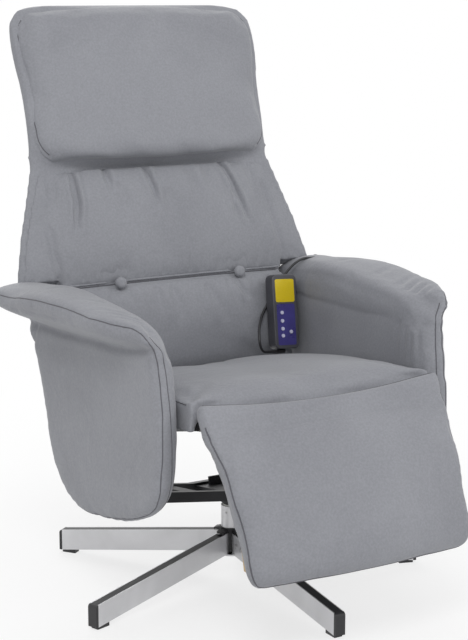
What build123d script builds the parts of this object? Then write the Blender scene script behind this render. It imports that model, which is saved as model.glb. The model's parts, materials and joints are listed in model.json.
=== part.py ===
from build123d import *
import os
from math import atan2, cos, degrees, pi, radians, sin, tan

os.makedirs("parts", exist_ok=True)

# Clearances shared by every fit
FIT = 0.2
SOFT_GAP = 0.3
RUN_FIT = 0.05
OVERRUN = 1.0

# Star base: five sloping box legs on a pentagonal hub
LEG_COUNT = 5
LEG_REACH = 369.0
LEG_WIDTH = 20.0
LEG_HEIGHT = 41.0
LEG_WALL = 2.0
LEG_RISE = 46.0
CAP_THICKNESS = 6.0
CAP_TENON = 12.0
INLAY_WIDTH = 16.0
INLAY_DEPTH = 1.0
FOOT_HEIGHT = 4.0
FOOT_LENGTH = 28.0
HUB_APOTHEM = 20.0
HUB_TOP = 100.0
HUB_TONGUE = 45.0
HUB_TAPER = 5.0
HUB_BORE_RADIUS = 13.0
EAR_LENGTH = 13.0
EAR_HEIGHT = 7.0
SCREW_RADIUS = 2.5
SCREW_HEAD_RADIUS = 4.0
SCREW_HEAD_HEIGHT = 2.0
SCREW_SPACING = 18.0
WASHER_RADIUS = 25.0
WASHER_THICKNESS = 3.0

# Column and swivel
COLUMN_RADIUS = 19.5
COLUMN_TOP = 142.0
COLUMN_BORE_RADIUS = 12.0
BEARING_HEIGHT = 3.0
BEARING_RADIUS = 17.0
COLLAR_RADIUS = 21.0
COLLAR_CHAMFER = 4.0
SPINDLE_LENGTH = 36.0
SET_SCREW_RADIUS = 2.5
SET_SCREW_DROP = 11.0
SET_SCREW_ANGLE = 212.0

# Tilted underframe that joins the column to both arms
FRAME_TILT = 9.0
FRAME_AXIS_HEIGHT = 174.0
BAR_SIZE = 19.0
BAR_WALL = 2.0
BAR_SETBACK = 70.0
BAR_FLAT_HALF = 50.0
BAR_RISE_ANGLE = 7.5
PLATE_HALF_WIDTH = 44.0
PLATE_THICKNESS = 5.0
RAIL_POSITION = 102.0
RAIL_WIDTH = 20.0
ARM_BRACKET_WIDTH = 40.0
ARM_BRACKET_RISE = 56.0
STOP_HEIGHT = 16.0
STOP_WIDTH = 46.0

# Arms
ARM_INNER = 250.0
ARM_CROWN_ROOM = 0.5
ARM_OUTER = 295.0
ARM_COVER_THICKNESS = 10.0
ARM_BOARD_THICKNESS = 15.0
ARM_FRONT = 273.0
ARM_BOTTOM = 169.0
ARM_PANEL_TOP = 495.0
ARM_TOP_HEIGHT = 81.0
ARM_FLARE = 87.0
ARM_BOLT_RADIUS = 4.0
ARM_BOLT_HEAD_RADIUS = 8.0
ARM_BOLT_HEAD_HEIGHT = 4.0
ARM_SPACER_RADIUS = 8.5

# Seat
SEAT_HALF_WIDTH = 249.0
SEAT_FRONT = 297.0
SEAT_UNDERSIDE_FRONT = 382.0
SEAT_DEPTH = 461.0
SEAT_TILT = 7.5
SEAT_NOSE_HEIGHT = 54.0
SEAT_CROWN_HEIGHT = 72.0
SEAT_REAR_HEIGHT = 56.0
SEAT_CORNER = 7.0
FRAME_THICKNESS = 18.0
FRAME_RAIL = 34.0
FRAME_HALF_WIDTH = 223.8
FRAME_FRONT_GAP = 22.0
FRAME_REAR_GAP = 26.0
DUST_COVER = 1.0
SPRING_WIRE = 3.0
SPRING_PITCH = 26.0
SPRING_HALF_WAVE = 17.0
SEAT_SPRING_COUNT = 4
SEAT_SPRING_SPACING = 96.0

# Backrest, hinged behind the seat
HINGE_SETBACK = 51.0
HINGE_Y = SEAT_DEPTH - SEAT_FRONT + HINGE_SETBACK
ARM_REAR_REACH = 47.0
ARM_REAR = HINGE_Y + ARM_REAR_REACH
HINGE_Z = 335.0
BACK_TILT = 17.5
BACK_BOTTOM = 34.0
BACK_TOP = 757.0
BACK_FRAME_FRONT = 48.0
SIDE_PLATE_INNER = 224.0
BACK_FRAME_INSET = 10.0
BACK_FRAME_HALF_WIDTH = SIDE_PLATE_INNER - BACK_FRAME_INSET
BACK_FRAME_TOP_GAP = 30.0
BACK_BOARD_HEIGHT = 100.0
BACK_SPRING_COUNT = 3
BACK_SPRING_SPACING = 120.0
WING_HALF_WIDTH = 334.0
LUMBAR_HALF_WIDTH = 248.0
LUMBAR_TOP = 199.0
PILLOW_BOTTOM = 431.0
ARM_RELIEF_TOP = 227.0
ARM_RELIEF_DEPTH = 9.0
BUTTON_POSITION = 132.0
BUTTON_RADIUS = 12.0
BUTTON_HEIGHT = 10.0
BUTTON_STALK_RADIUS = 2.0
BUTTON_FACE = 96.0

# Vibration motors inside the pads
MOTOR_RADIUS = 28.0
MOTOR_HEIGHT = 16.0
SEAT_MOTOR_POSITION = 111.0
SEAT_MOTOR_SETBACK = 166.0
BACK_MOTOR_POSITION = 142.0
BACK_MOTOR_HEIGHT = 262.0
HEAD_MOTOR_RISE = 99.0
HEAD_MOTOR_HEIGHT = PILLOW_BOTTOM + HEAD_MOTOR_RISE

# Hinges
STEEL = 4.0
HINGE_BOSS_RADIUS = 17.0
HINGE_PLATE_RADIUS = 11.0
HINGE_ROOM = 10.5
HINGE_PIN_RADIUS = 5.0
PIN_HEAD_RADIUS = 8.0
PIN_HEAD_HEIGHT = 2.5

# Legrest, hinged under the front seam
LEGREST_PIVOT_Y = -305.0
LEGREST_PIVOT_Z = 410.0
LEGREST_KNUCKLE_RADIUS = 16.0
LEGREST_HALF_WIDTH = 245.0
LEGREST_BOTTOM = 143.0
LEGREST_BOARD_THICKNESS = 12.0

# Push link between backrest and legrest
RECLINE_MAX = 35.0
LEGREST_MAX = 63.0
BACK_LEVER_LENGTH = 104.0
LEGREST_LEVER_LENGTH = 60.0
LEVER_WIDTH = 20.0
LEVER_THICKNESS = 6.0
LEVER_ROOM = 14.0
LINK_PIN_RADIUS = 4.0
LINK_SLOT_LENGTH = 9.0
LINK_SLOT_ROOM = 0.8
LINK_HEIGHT = 18.0
LINK_THICKNESS = 4.0

# Control box under the seat
BOX_LENGTH = 100.0
BOX_WIDTH = 80.0
BOX_HEIGHT = 32.0
BOX_WALL = 2.0
BOX_CORNER = 5.0
BOX_INNER_SIDE = 70.0
BOX_REAR_ROOM = 115.0
BOX_SETBACK = SEAT_DEPTH - BOX_REAR_ROOM
GLAND_LENGTH = 12.0
INLET_RADIUS = 5.5
INLET_LENGTH = 9.0

# Handset leaning in the corner of seat and right arm
HANDSET_X = 197.0
HANDSET_SETBACK = 78.0
HANDSET_Y = HINGE_Y - HANDSET_SETBACK
HANDSET_Z = 396.0
HANDSET_LEAN = 12.5
HANDSET_ROLL = 3.5
HANDSET_WIDTH = 56.0
HANDSET_LENGTH = 148.0
HANDSET_DEPTH = 27.0
HANDSET_WALL = 2.0
HANDSET_CORNER = 11.0
HANDSET_EDGE = 2.0
WINDOW_HEIGHT = 46.0
KEYPAD_HEIGHT = 82.0
PANEL_WIDTH = 42.0
PANEL_MARGIN = 7.0
PANEL_CORNER = 4.0
PANEL_DEPTH = 0.8
BOARD_THICKNESS = 1.6
BOARD_LEVEL = 12.0
KEY_RADIUS = 3.6
KEY_FLANGE = 1.2
KEY_FLANGE_HEIGHT = 1.0
KEY_PROUD = 1.4
KEY_TRAVEL = 0.8
KEY_COLUMN = 9.5
RELIEF_RADIUS = 4.0
RELIEF_LENGTH = 16.0

# Handset cord: a list of points chosen along its route
CORD_DIAMETER = 5.0
CORD_ROUTE = [
    (143, 116, 399),
    (133, 112, 412),
    (132, 114, 427),
    (138, 125, 441),
    (150, 141, 455),
    (166, 156, 470),
    (182, 163, 486),
    (198, 168, 505),
    (215, 173, 525),
    (234, 173, 546),
    (255, 174, 562),
    (279, 180, 568),
    (304, 188, 566),
    (330, 203, 565),
    (350, 228, 566),
    (362, 256, 563),
    (366, 279, 548),
    (362, 290, 524),
    (354, 289, 486),
    (345, 274, 442),
    (334, 249, 396),
    (320, 230, 356),
    (300, 214, 326),
    (274, 203, 306),
    (248, 190, 296),
    (236, 163, 292),
    (229, 134, 296),
    (219, 108, 304),
]

# Shapes as shares of the sizes above. Outline of an arm seen from the side,
# as shares of its depth from front to rear and of its height.
ARM_OUTLINE_SHARES = [
    (1.0, 1.0),
    (0.925, 0.74),
    (0.87, 0.5),
    (0.825, 0.29),
    (0.745, 0.105),
    (0.62, 0.005),
    (0.45, 0.01),
    (0.27, 0.065),
    (0.12, 0.16),
    (0.03, 0.28),
    (0.0, 0.47),
    (0.004, 0.76),
    (0.027, 1.0),
]
# An arm's outline on its inner face and at its board, and the board's own
ARM_CROWN_SHARES = (0.86, 0.98)
BOARD_OUTLINE_SHARE = 0.96
BOARD_ROOM_SHARE = 0.004
ARM_RIM_SHARE = 0.45
ARM_SHOULDER_SHARE = 0.7
ARM_CREST_SHARE = 0.35
ARM_BULGE_SHARE = 0.06
# Seat stations across its half width and how much lower each lies than the
# highest, as shares of the half width and of the nose height
SEAT_SHARES = [(0.0, 0.08), (0.5, 0.0), (0.86, 0.0), (0.965, 0.06), (1.0, 0.2)]
# How far along and down the middle of the nose's arc lies, and a spring's bend
NOSE_ARC_SHARES = (0.3, 0.25)
SPRING_BEND_SHARE = 0.3
# Where the spacers to the arms stand along the seat's depth
SPACER_SHARES = (0.32, 0.76)
# Height and reach of the legrest board's curve: top, middle and bottom
BOARD_SHARES = [(0.80, 0.31), (0.45, 0.73), (0.12, 0.94)]
# How far cushion sides are drawn in, and the knuckle's part in the legrest
DRAW_SHARE = 0.35
KNUCKLE_SHARE = 0.8
SHELL_CORNER_SHARE = 0.4
BUTTON_CROWN_SHARE = 0.7
CORD_BEND_SHARE = 0.45
# Rows of the handset's keys down its keypad, and the key that stands alone
KEY_ROW_SHARES = [0.21, 0.41, 0.60, 0.77]
LONE_KEY_SHARE = 0.68
# Cross-sections of an arm's top pad from front to rear: place along the arm,
# crest height, rim reach, rim height, height of the fold under the rim and
# how far the inner side is set back, as a share of the arm's thickness.
ARM_TOP_SHARES = [
    (0.030, 0.30, 0.115, 0.42, 0.24, 0.55),
    (0.062, 0.38, 0.26, 0.73, 0.34, 0.35),
    (0.115, 0.50, 0.43, 0.78, 0.29, 0.12),
    (0.20, 0.65, 0.67, 0.80, 0.23, 0.0),
    (0.33, 0.77, 0.81, 0.86, 0.16, 0.0),
    (0.50, 0.86, 0.94, 0.92, 0.09, 0.0),
    (0.68, 0.90, 1.00, 0.84, 0.03, 0.0),
    (0.87, 0.77, 1.00, 0.70, 0.03, 0.0),
    (0.97, 0.66, 0.93, 0.61, 0.04, 0.0),
    (1.00, 0.50, 0.81, 0.46, 0.08, 0.0),
]
# Cushion sections: height, half width, edge level and crown level, as shares
# of the cushion's own height, half width and thickness.
LUMBAR_SHARES = [
    (0.0, 1.0, 0.30, 0.42),
    (0.52, 1.0, 0.72, 1.0),
    (0.90, 1.0, 0.66, 0.94),
    (1.0, 0.99, 0.48, 0.80),
]
UPPER_SHARES = [
    (0.0, 0.985, 0.14, 0.80),
    (0.16, 0.96, 0.20, 1.0),
    (0.55, 0.88, 0.16, 0.90),
    (0.93, 0.79, 0.10, 0.55),
    (1.0, 0.77, 0.05, 0.36),
]
PILLOW_SHARES = [
    (0.0, 0.84, 0.16, 0.42),
    (0.08, 0.92, 0.34, 0.84),
    (0.45, 0.97, 0.40, 1.0),
    (0.80, 1.0, 0.38, 0.86),
    (0.94, 0.95, 0.22, 0.60),
    (1.0, 0.80, 0.05, 0.22),
]
SHELL_SHARES = [
    (0.0, 0.70, 0.97, 0.89),
    (0.10, 0.89, 1.0, 0.89),
    (0.255, 1.0, 0.92, 0.89),
    (0.37, 0.935, 0.80, 0.89),
    (0.506, 0.85, 0.68, 0.88),
    (0.62, 0.80, 0.74, 0.87),
    (0.78, 0.79, 0.88, 0.85),
    (0.96, 0.773, 1.06, 0.84),
    (1.0, 0.69, 0.74, 0.84),
]
# Legrest sections: height, rear line, edge line and crown line as shares
LEGREST_SHARES = [
    (1.0, 0.0, 0.02, 0.12, 1.0),
    (0.93, 0.10, 0.13, 0.20, 0.993),
    (0.72, 0.43, 0.46, 0.60, 0.965),
    (0.41, 0.76, 0.78, 0.92, 0.94),
    (0.15, 0.96, 0.99, 1.0, 0.925),
    (0.03, 0.985, 0.99, 0.96, 0.895),
    (0.0, 0.96, 0.93, 0.86, 0.845),
]
LEGREST_REACH = 124.0
LEGREST_REAR_REACH = 125.0
LEGREST_CROWN = 18.0
LUMBAR_THICKNESS = 50.0
UPPER_THICKNESS = 48.0
PILLOW_THICKNESS = 50.0
PILLOW_HALF_WIDTH = 277.0
SHELL_DEPTH = 70.0


def save(name, builder):
    """Label a finished piece and write it."""
    builder.part.label = name
    export_step(builder.part, f"parts/{name}.step")


def leg_plane(index):
    """Upright plane through the swivel axis along one leg."""
    angle = radians(270.0 + index * 360.0 / LEG_COUNT)
    return Plane(origin=(0, 0, 0), x_dir=(cos(angle), sin(angle), 0), z_dir=(sin(angle), -cos(angle), 0))


def leg_underside(reach):
    """Height of a leg's underside at a distance from the axis."""
    run = (LEG_REACH - reach) / (LEG_REACH - HUB_APOTHEM)
    return FOOT_HEIGHT + LEG_RISE * run


def leg_outline(inner, outer, inset):
    """Sloping side view of a leg between two distances from the axis."""
    low_inner = leg_underside(inner) + inset
    low_outer = leg_underside(outer) + inset
    rise = LEG_HEIGHT - inset - inset
    with BuildLine() as outline:
        Polyline(
            (inner, low_inner),
            (outer, low_outer),
            (outer, low_outer + rise),
            (inner, low_inner + rise),
            close=True,
        )
    return outline.line


def leg_block(inner, outer, inset, width, plane, mode=Mode.ADD):
    """A sloping block along one leg."""
    with BuildSketch(plane) as face:
        with BuildLine():
            add(leg_outline(inner, outer, inset))
        make_face()
    extrude(face.sketch, amount=width / 2, both=True, mode=mode)


LEG_END = LEG_REACH - CAP_THICKNESS
TONGUE_INSET = LEG_WALL + FIT
TONGUE_WIDTH = LEG_WIDTH - 2 * TONGUE_INSET
SCREW_PLACES = [HUB_APOTHEM + HUB_TONGUE / 2 + side * SCREW_SPACING / 2 for side in (-1, 1)]
SCREW_LENGTH = LEG_WALL + TONGUE_WIDTH / 2


def screw_plane(index, reach, offset):
    """Plane on a leg's side wall, facing out, at one screw."""
    plane = leg_plane(index)
    height = leg_underside(reach) + LEG_HEIGHT / 2
    return Plane(origin=plane.from_local_coords((reach, height, offset)), x_dir=plane.x_dir, z_dir=plane.z_dir)


def build_legs():
    for index in range(LEG_COUNT):
        plane = leg_plane(index)
        with BuildPart() as leg:
            leg_block(HUB_APOTHEM, LEG_END, 0, LEG_WIDTH, plane)
            leg_block(HUB_APOTHEM - OVERRUN, LEG_END + OVERRUN, LEG_WALL, LEG_WIDTH - 2 * LEG_WALL, plane, Mode.SUBTRACT)
            with BuildSketch(plane):
                with BuildLine():
                    top_in = leg_underside(HUB_APOTHEM) + LEG_HEIGHT
                    top_out = leg_underside(LEG_END) + LEG_HEIGHT
                    Polyline(
                        (HUB_APOTHEM, top_in - INLAY_DEPTH),
                        (LEG_END, top_out - INLAY_DEPTH),
                        (LEG_END, top_out + OVERRUN),
                        (HUB_APOTHEM, top_in + OVERRUN),
                        close=True,
                    )
                make_face()
            extrude(amount=INLAY_WIDTH / 2, both=True, mode=Mode.SUBTRACT)
            for reach in SCREW_PLACES:
                with BuildSketch(screw_plane(index, reach, LEG_WIDTH / 2)):
                    Circle(SCREW_RADIUS + FIT)
                extrude(amount=-LEG_WALL - OVERRUN, mode=Mode.SUBTRACT)
        save(f"base_leg_{index + 1}", leg)


def build_leg_trim():
    with BuildPart() as inlays:
        for index in range(LEG_COUNT):
            inner = HUB_APOTHEM + EAR_LENGTH + FIT
            with BuildSketch(leg_plane(index)):
                with BuildLine():
                    top_in = leg_underside(inner) + LEG_HEIGHT
                    top_out = leg_underside(LEG_END - FIT) + LEG_HEIGHT
                    Polyline(
                        (inner, top_in - INLAY_DEPTH),
                        (LEG_END - FIT, top_out - INLAY_DEPTH),
                        (LEG_END - FIT, top_out),
                        (inner, top_in),
                        close=True,
                    )
                make_face()
            extrude(amount=INLAY_WIDTH / 2 - FIT, both=True)
    save("leg_inlay_strips", inlays)

    with BuildPart() as caps:
        for index in range(LEG_COUNT):
            plane = leg_plane(index)
            with BuildSketch(plane):
                with BuildLine():
                    low = leg_underside(LEG_END)
                    high = low + LEG_HEIGHT
                    Line((LEG_END, low), (LEG_REACH, low))
                    Line((LEG_REACH, low), (LEG_REACH, high - CAP_THICKNESS))
                    RadiusArc((LEG_REACH, high - CAP_THICKNESS), (LEG_END, high), -CAP_THICKNESS)
                    Line((LEG_END, high), (LEG_END, low))
                make_face()
            extrude(amount=LEG_WIDTH / 2, both=True)
            leg_block(LEG_END - CAP_TENON, LEG_END, TONGUE_INSET, TONGUE_WIDTH, plane)
    save("leg_end_caps", caps)

    with BuildPart() as feet:
        for index in range(LEG_COUNT):
            inner = LEG_END - FOOT_LENGTH
            with BuildSketch(leg_plane(index)):
                with BuildLine():
                    Polyline(
                        (inner, 0),
                        (LEG_END, 0),
                        (LEG_END, leg_underside(LEG_END)),
                        (inner, leg_underside(inner)),
                        close=True,
                    )
                make_face()
            extrude(amount=LEG_WIDTH / 2 - LEG_WALL, both=True)
    save("foot_pads", feet)

    with BuildPart() as screws:
        for index in range(LEG_COUNT):
            for reach in SCREW_PLACES:
                with BuildSketch(screw_plane(index, reach, LEG_WIDTH / 2)):
                    Circle(SCREW_HEAD_RADIUS)
                extrude(amount=SCREW_HEAD_HEIGHT)
                with BuildSketch(screw_plane(index, reach, LEG_WIDTH / 2)):
                    Circle(SCREW_RADIUS)
                extrude(amount=-SCREW_LENGTH)
    save("leg_side_screws", screws)


def build_hub():
    hub_low = leg_underside(HUB_APOTHEM)
    with BuildPart() as hub:
        with BuildSketch(Plane.XY.offset(hub_low)):
            with Locations(Rotation(0, 0, 90)):
                RegularPolygon(HUB_APOTHEM, LEG_COUNT, major_radius=False)
        extrude(amount=HUB_TOP - hub_low)
        chamfer(hub.faces().sort_by(Axis.Z)[0].edges(), HUB_TAPER)
        for index in range(LEG_COUNT):
            plane = leg_plane(index)
            leg_block(0, HUB_APOTHEM + HUB_TONGUE, TONGUE_INSET, TONGUE_WIDTH, plane)
            ear_low = leg_underside(HUB_APOTHEM) + LEG_HEIGHT
            with BuildSketch(plane):
                with BuildLine():
                    Polyline(
                        (0, ear_low),
                        (HUB_APOTHEM + EAR_LENGTH, ear_low),
                        (HUB_APOTHEM + EAR_LENGTH, ear_low + EAR_HEIGHT / 2),
                        (HUB_APOTHEM, ear_low + EAR_HEIGHT),
                        (0, ear_low + EAR_HEIGHT),
                        close=True,
                    )
                make_face()
            extrude(amount=TONGUE_WIDTH / 2, both=True)
            for reach in SCREW_PLACES:
                with BuildSketch(screw_plane(index, reach, TONGUE_WIDTH / 2)):
                    Circle(SCREW_RADIUS + RUN_FIT)
                extrude(amount=-TONGUE_WIDTH / 2 - OVERRUN, mode=Mode.SUBTRACT)
        with BuildSketch(Plane.XY.offset(hub_low)):
            Circle(HUB_BORE_RADIUS)
        extrude(amount=HUB_TOP, mode=Mode.SUBTRACT)
    save("star_base_hub", hub)

    with BuildPart() as washer:
        with BuildSketch(Plane.XY.offset(leg_underside(WASHER_RADIUS))):
            Circle(WASHER_RADIUS)
        extrude(amount=-WASHER_THICKNESS)
    save("hub_washer", washer)


def build_column():
    hub_low = leg_underside(HUB_APOTHEM)
    solid_top = COLUMN_TOP - SPINDLE_LENGTH - FIT
    with BuildPart() as column:
        with BuildSketch(Plane.XY.offset(HUB_TOP)):
            Circle(COLUMN_RADIUS)
        extrude(amount=COLUMN_TOP - HUB_TOP)
        with BuildSketch(Plane.XY.offset(hub_low)):
            Circle(HUB_BORE_RADIUS - RUN_FIT)
        extrude(amount=HUB_TOP - hub_low)
        with BuildSketch(Plane.XY.offset(solid_top)):
            Circle(COLUMN_BORE_RADIUS)
        extrude(amount=COLUMN_TOP - solid_top, mode=Mode.SUBTRACT)
        with BuildSketch(set_screw_plane()):
            Circle(SET_SCREW_RADIUS + RUN_FIT)
        extrude(amount=-COLUMN_RADIUS, mode=Mode.SUBTRACT)
    save("column_tube", column)

    with BuildPart() as screw:
        depth = COLUMN_RADIUS - COLUMN_BORE_RADIUS
        with BuildSketch(set_screw_plane().offset(-OVERRUN)):
            Circle(SET_SCREW_RADIUS)
        extrude(amount=-depth + 2 * OVERRUN)
        with BuildSketch(set_screw_plane().offset(-OVERRUN)):
            RegularPolygon(SET_SCREW_RADIUS / 2, 6)
        extrude(amount=-OVERRUN, mode=Mode.SUBTRACT)
    save("column_set_screw", screw)

    with BuildPart() as bearing:
        with BuildSketch(Plane.XY.offset(COLUMN_TOP)):
            Circle(BEARING_RADIUS)
            Circle(COLUMN_BORE_RADIUS, mode=Mode.SUBTRACT)
        extrude(amount=BEARING_HEIGHT)
    save("swivel_bearing", bearing)


def set_screw_plane():
    angle = radians(SET_SCREW_ANGLE)
    outward = (cos(angle), sin(angle), 0)
    height = COLUMN_TOP - SET_SCREW_DROP
    place = (COLUMN_RADIUS * outward[0], COLUMN_RADIUS * outward[1], height)
    return Plane(origin=place, x_dir=(-outward[1], outward[0], 0), z_dir=outward)


TILTED = Plane(
    origin=(0, 0, FRAME_AXIS_HEIGHT),
    x_dir=(1, 0, 0),
    z_dir=(0, sin(radians(FRAME_TILT)), cos(radians(FRAME_TILT))),
)


def build_swivel():
    collar_low = COLUMN_TOP + BEARING_HEIGHT + FIT
    with BuildPart() as collar:
        with BuildSketch(Plane.XY.offset(collar_low)):
            Circle(COLLAR_RADIUS)
        extrude(amount=FRAME_AXIS_HEIGHT - collar_low + COLLAR_RADIUS)
        chamfer(collar.edges().sort_by(Axis.Z)[0], COLLAR_CHAMFER)
        with BuildSketch(Plane.XY.offset(COLUMN_TOP - SPINDLE_LENGTH)):
            Circle(COLUMN_BORE_RADIUS - RUN_FIT)
        extrude(amount=collar_low - COLUMN_TOP + SPINDLE_LENGTH)
        split(bisect_by=TILTED, keep=Keep.BOTTOM)
    save("swivel_collar", collar)

    reach = BAR_SETBACK - BAR_SIZE / 2 - FIT
    with BuildPart() as plate:
        with BuildSketch(TILTED):
            Rectangle(2 * PLATE_HALF_WIDTH, 2 * reach)
        extrude(amount=PLATE_THICKNESS)
        with BuildSketch(TILTED.offset(PLATE_THICKNESS)):
            with Locations((0, reach - STOP_HEIGHT), (0, STOP_HEIGHT - reach)):
                Rectangle(STOP_WIDTH, BAR_WALL * 2)
        extrude(amount=STOP_HEIGHT)
        for side in (-1, 1):
            lift = (RAIL_POSITION - BAR_FLAT_HALF) * tan(radians(BAR_RISE_ANGLE))
            with BuildSketch(TILTED.offset(lift - BAR_SIZE / 4)):
                with Locations((side * RAIL_POSITION, 0)):
                    Rectangle(RAIL_WIDTH, 2 * reach)
            extrude(amount=BAR_SIZE / 2)
    save("swivel_plate", plate)


def bar_outline(half_thickness):
    """Front view of a cross bar: flat at the middle, rising to both arms."""
    reach = ARM_INNER - FIT - STEEL
    rise = (reach - BAR_FLAT_HALF) * tan(radians(BAR_RISE_ANGLE))
    with BuildLine() as outline:
        Polyline(
            (-reach, rise - half_thickness),
            (-BAR_FLAT_HALF, -half_thickness),
            (BAR_FLAT_HALF, -half_thickness),
            (reach, rise - half_thickness),
            (reach, rise + half_thickness),
            (BAR_FLAT_HALF, half_thickness),
            (-BAR_FLAT_HALF, half_thickness),
            (-reach, rise + half_thickness),
            close=True,
        )
    return outline.line


def build_underframe():
    for name, side in (("front_cross_bar", -1), ("rear_cross_bar", 1)):
        centre = TILTED.from_local_coords((0, side * BAR_SETBACK, 0))
        plane = Plane(origin=centre, x_dir=(1, 0, 0), z_dir=-TILTED.y_dir)
        with BuildPart() as bar:
            with BuildSketch(plane):
                with BuildLine():
                    add(bar_outline(BAR_SIZE / 2))
                make_face()
            extrude(amount=BAR_SIZE / 2, both=True)
            with BuildSketch(plane):
                with BuildLine():
                    add(bar_outline(BAR_SIZE / 2 - BAR_WALL))
                make_face()
            extrude(amount=BAR_SIZE / 2 - BAR_WALL, both=True, mode=Mode.SUBTRACT)
            for end in (-1, 1):
                with BuildSketch(arm_bolt_plane(end, side)):
                    with Locations((0, (BAR_SIZE / 2 - ARM_BRACKET_RISE) / 2)):
                        Rectangle(ARM_BRACKET_WIDTH, ARM_BRACKET_RISE + 2 * BAR_SIZE)
                    Circle(ARM_BOLT_RADIUS + RUN_FIT, mode=Mode.SUBTRACT)
                extrude(amount=-STEEL)
        save(name, bar)


def arm_points(share, middle_y, middle_z):
    """Side outline of an arm, drawn in towards its middle by a share."""
    depth = ARM_FRONT + ARM_REAR
    height = ARM_PANEL_TOP - ARM_BOTTOM
    points = []
    for along, up in ARM_OUTLINE_SHARES:
        y = -ARM_FRONT + along * depth
        z = ARM_BOTTOM + up * height
        points.append((middle_y + (y - middle_y) * share, middle_z + (z - middle_z) * share))
    return points


def arm_face(x, share, side):
    """The arm's outline on an upright plane at x."""
    middle_y = (ARM_REAR - ARM_FRONT) / 2
    middle_z = ARM_PANEL_TOP
    points = arm_points(share, middle_y, middle_z)
    with BuildSketch(Plane(origin=(side * x, 0, 0), x_dir=(0, 1, 0), z_dir=(1, 0, 0))) as face:
        with BuildLine():
            Spline(*points)
            Line(points[-1], points[0])
        make_face()
    return face.sketch


def build_arm(prefix, side):
    board_outer = ARM_OUTER - ARM_COVER_THICKNESS
    board_inner = board_outer - ARM_BOARD_THICKNESS
    crown_share, inner_share = ARM_CROWN_SHARES
    with BuildPart() as pad:
        loft(
            [
                arm_face(ARM_INNER, crown_share, side),
                arm_face(board_inner, inner_share, side),
                arm_face(board_outer, 1, side),
            ]
        )
        extrude(arm_face(board_outer, 1, side), amount=side * ARM_COVER_THICKNESS)
        slot = arm_face(board_outer + FIT, BOARD_OUTLINE_SHARE + BOARD_ROOM_SHARE, side)
        extrude(slot, amount=-side * (ARM_BOARD_THICKNESS + 2 * FIT), mode=Mode.SUBTRACT)
        for plane in arm_bolt_planes(side):
            with BuildSketch(plane):
                Circle(ARM_BOLT_RADIUS + FIT)
            extrude(amount=board_outer + FIT - abs(plane.origin.X), mode=Mode.SUBTRACT)
    save(f"{prefix}_arm_pad", pad)

    with BuildPart() as board:
        extrude(arm_face(board_outer, BOARD_OUTLINE_SHARE, side), amount=-side * ARM_BOARD_THICKNESS)
        for plane in arm_bolt_planes(side):
            with BuildSketch(plane):
                Circle(ARM_BOLT_RADIUS + RUN_FIT)
            extrude(amount=ARM_OUTER - SIDE_PLATE_INNER, mode=Mode.SUBTRACT)
    save(f"{prefix}_arm_board", board)

    with BuildPart() as top_pad:
        loft([arm_top_section(*shares, side) for shares in ARM_TOP_SHARES])
    save(f"{prefix}_arm_top_pad", top_pad)


def arm_top_section(along, crest, reach, rim, fold, inset, side):
    """Cross-section of the arm's top pad, flaring outwards to its rim."""
    y = -ARM_FRONT + along * (ARM_FRONT + ARM_REAR)
    low = ARM_PANEL_TOP + SOFT_GAP
    top = low + crest * ARM_TOP_HEIGHT
    inner_x = ARM_INNER + 4 * ARM_CROWN_ROOM + inset * (ARM_OUTER - ARM_INNER)
    rim_x = ARM_OUTER + reach * ARM_FLARE
    rim_z = low + rim * ARM_TOP_HEIGHT
    fold_z = low + fold * ARM_TOP_HEIGHT
    roll = (rim_z - fold_z) * ARM_RIM_SHARE
    edge_x = rim_x - roll / 2
    shoulder = low + (top - low) * ARM_SHOULDER_SHARE
    crest_x = inner_x + (rim_x - inner_x) * ARM_CREST_SHARE
    corner_x = inner_x + (crest_x - inner_x) * ARM_CREST_SHARE
    corner_z = shoulder + (top - shoulder) * ARM_SHOULDER_SHARE
    bulge = (edge_x - crest_x) * ARM_BULGE_SHARE
    with BuildSketch(Plane(origin=(0, y, 0), x_dir=(side, 0, 0), z_dir=(0, -side, 0))) as section:
        with BuildLine():
            Line((inner_x, low), (inner_x, shoulder))
            ThreePointArc((inner_x, shoulder), (corner_x, corner_z), (crest_x, top))
            ThreePointArc((crest_x, top), ((crest_x + edge_x) / 2, (top + rim_z) / 2 + bulge), (edge_x, rim_z))
            ThreePointArc((edge_x, rim_z), (rim_x, rim_z - roll / 2), (edge_x, rim_z - roll))
            Line((edge_x, rim_z - roll), (ARM_OUTER, fold_z))
            Line((ARM_OUTER, fold_z), (ARM_OUTER, low))
            Line((ARM_OUTER, low), (inner_x, low))
        make_face()
    return section.sketch


def arm_bolt_plane(side, end):
    """Outer face of the upright bracket at one end of a cross bar."""
    lift = (ARM_INNER - BAR_FLAT_HALF) * tan(radians(BAR_RISE_ANGLE)) + ARM_BRACKET_RISE
    place = TILTED.from_local_coords((side * (ARM_INNER - FIT), end * BAR_SETBACK, lift))
    return Plane(origin=place, x_dir=TILTED.y_dir * side, z_dir=(side, 0, 0))


def seat_bolt_plane(side, share):
    """Outer face of a side plate where a spacer carries it on the arm."""
    place = SEAT_PLANE.from_local_coords((side * (SIDE_PLATE_INNER + STEEL), share * SEAT_DEPTH, FRAME_THICKNESS / 2))
    return Plane(origin=place, x_dir=SEAT_PLANE.y_dir * side, z_dir=(side, 0, 0))


def arm_bolt_planes(side):
    """All bolt axes of one arm: two brackets and two spacers."""
    brackets = [arm_bolt_plane(side, end) for end in (-1, 1)]
    return brackets + [seat_bolt_plane(side, share) for share in SPACER_SHARES]


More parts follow.
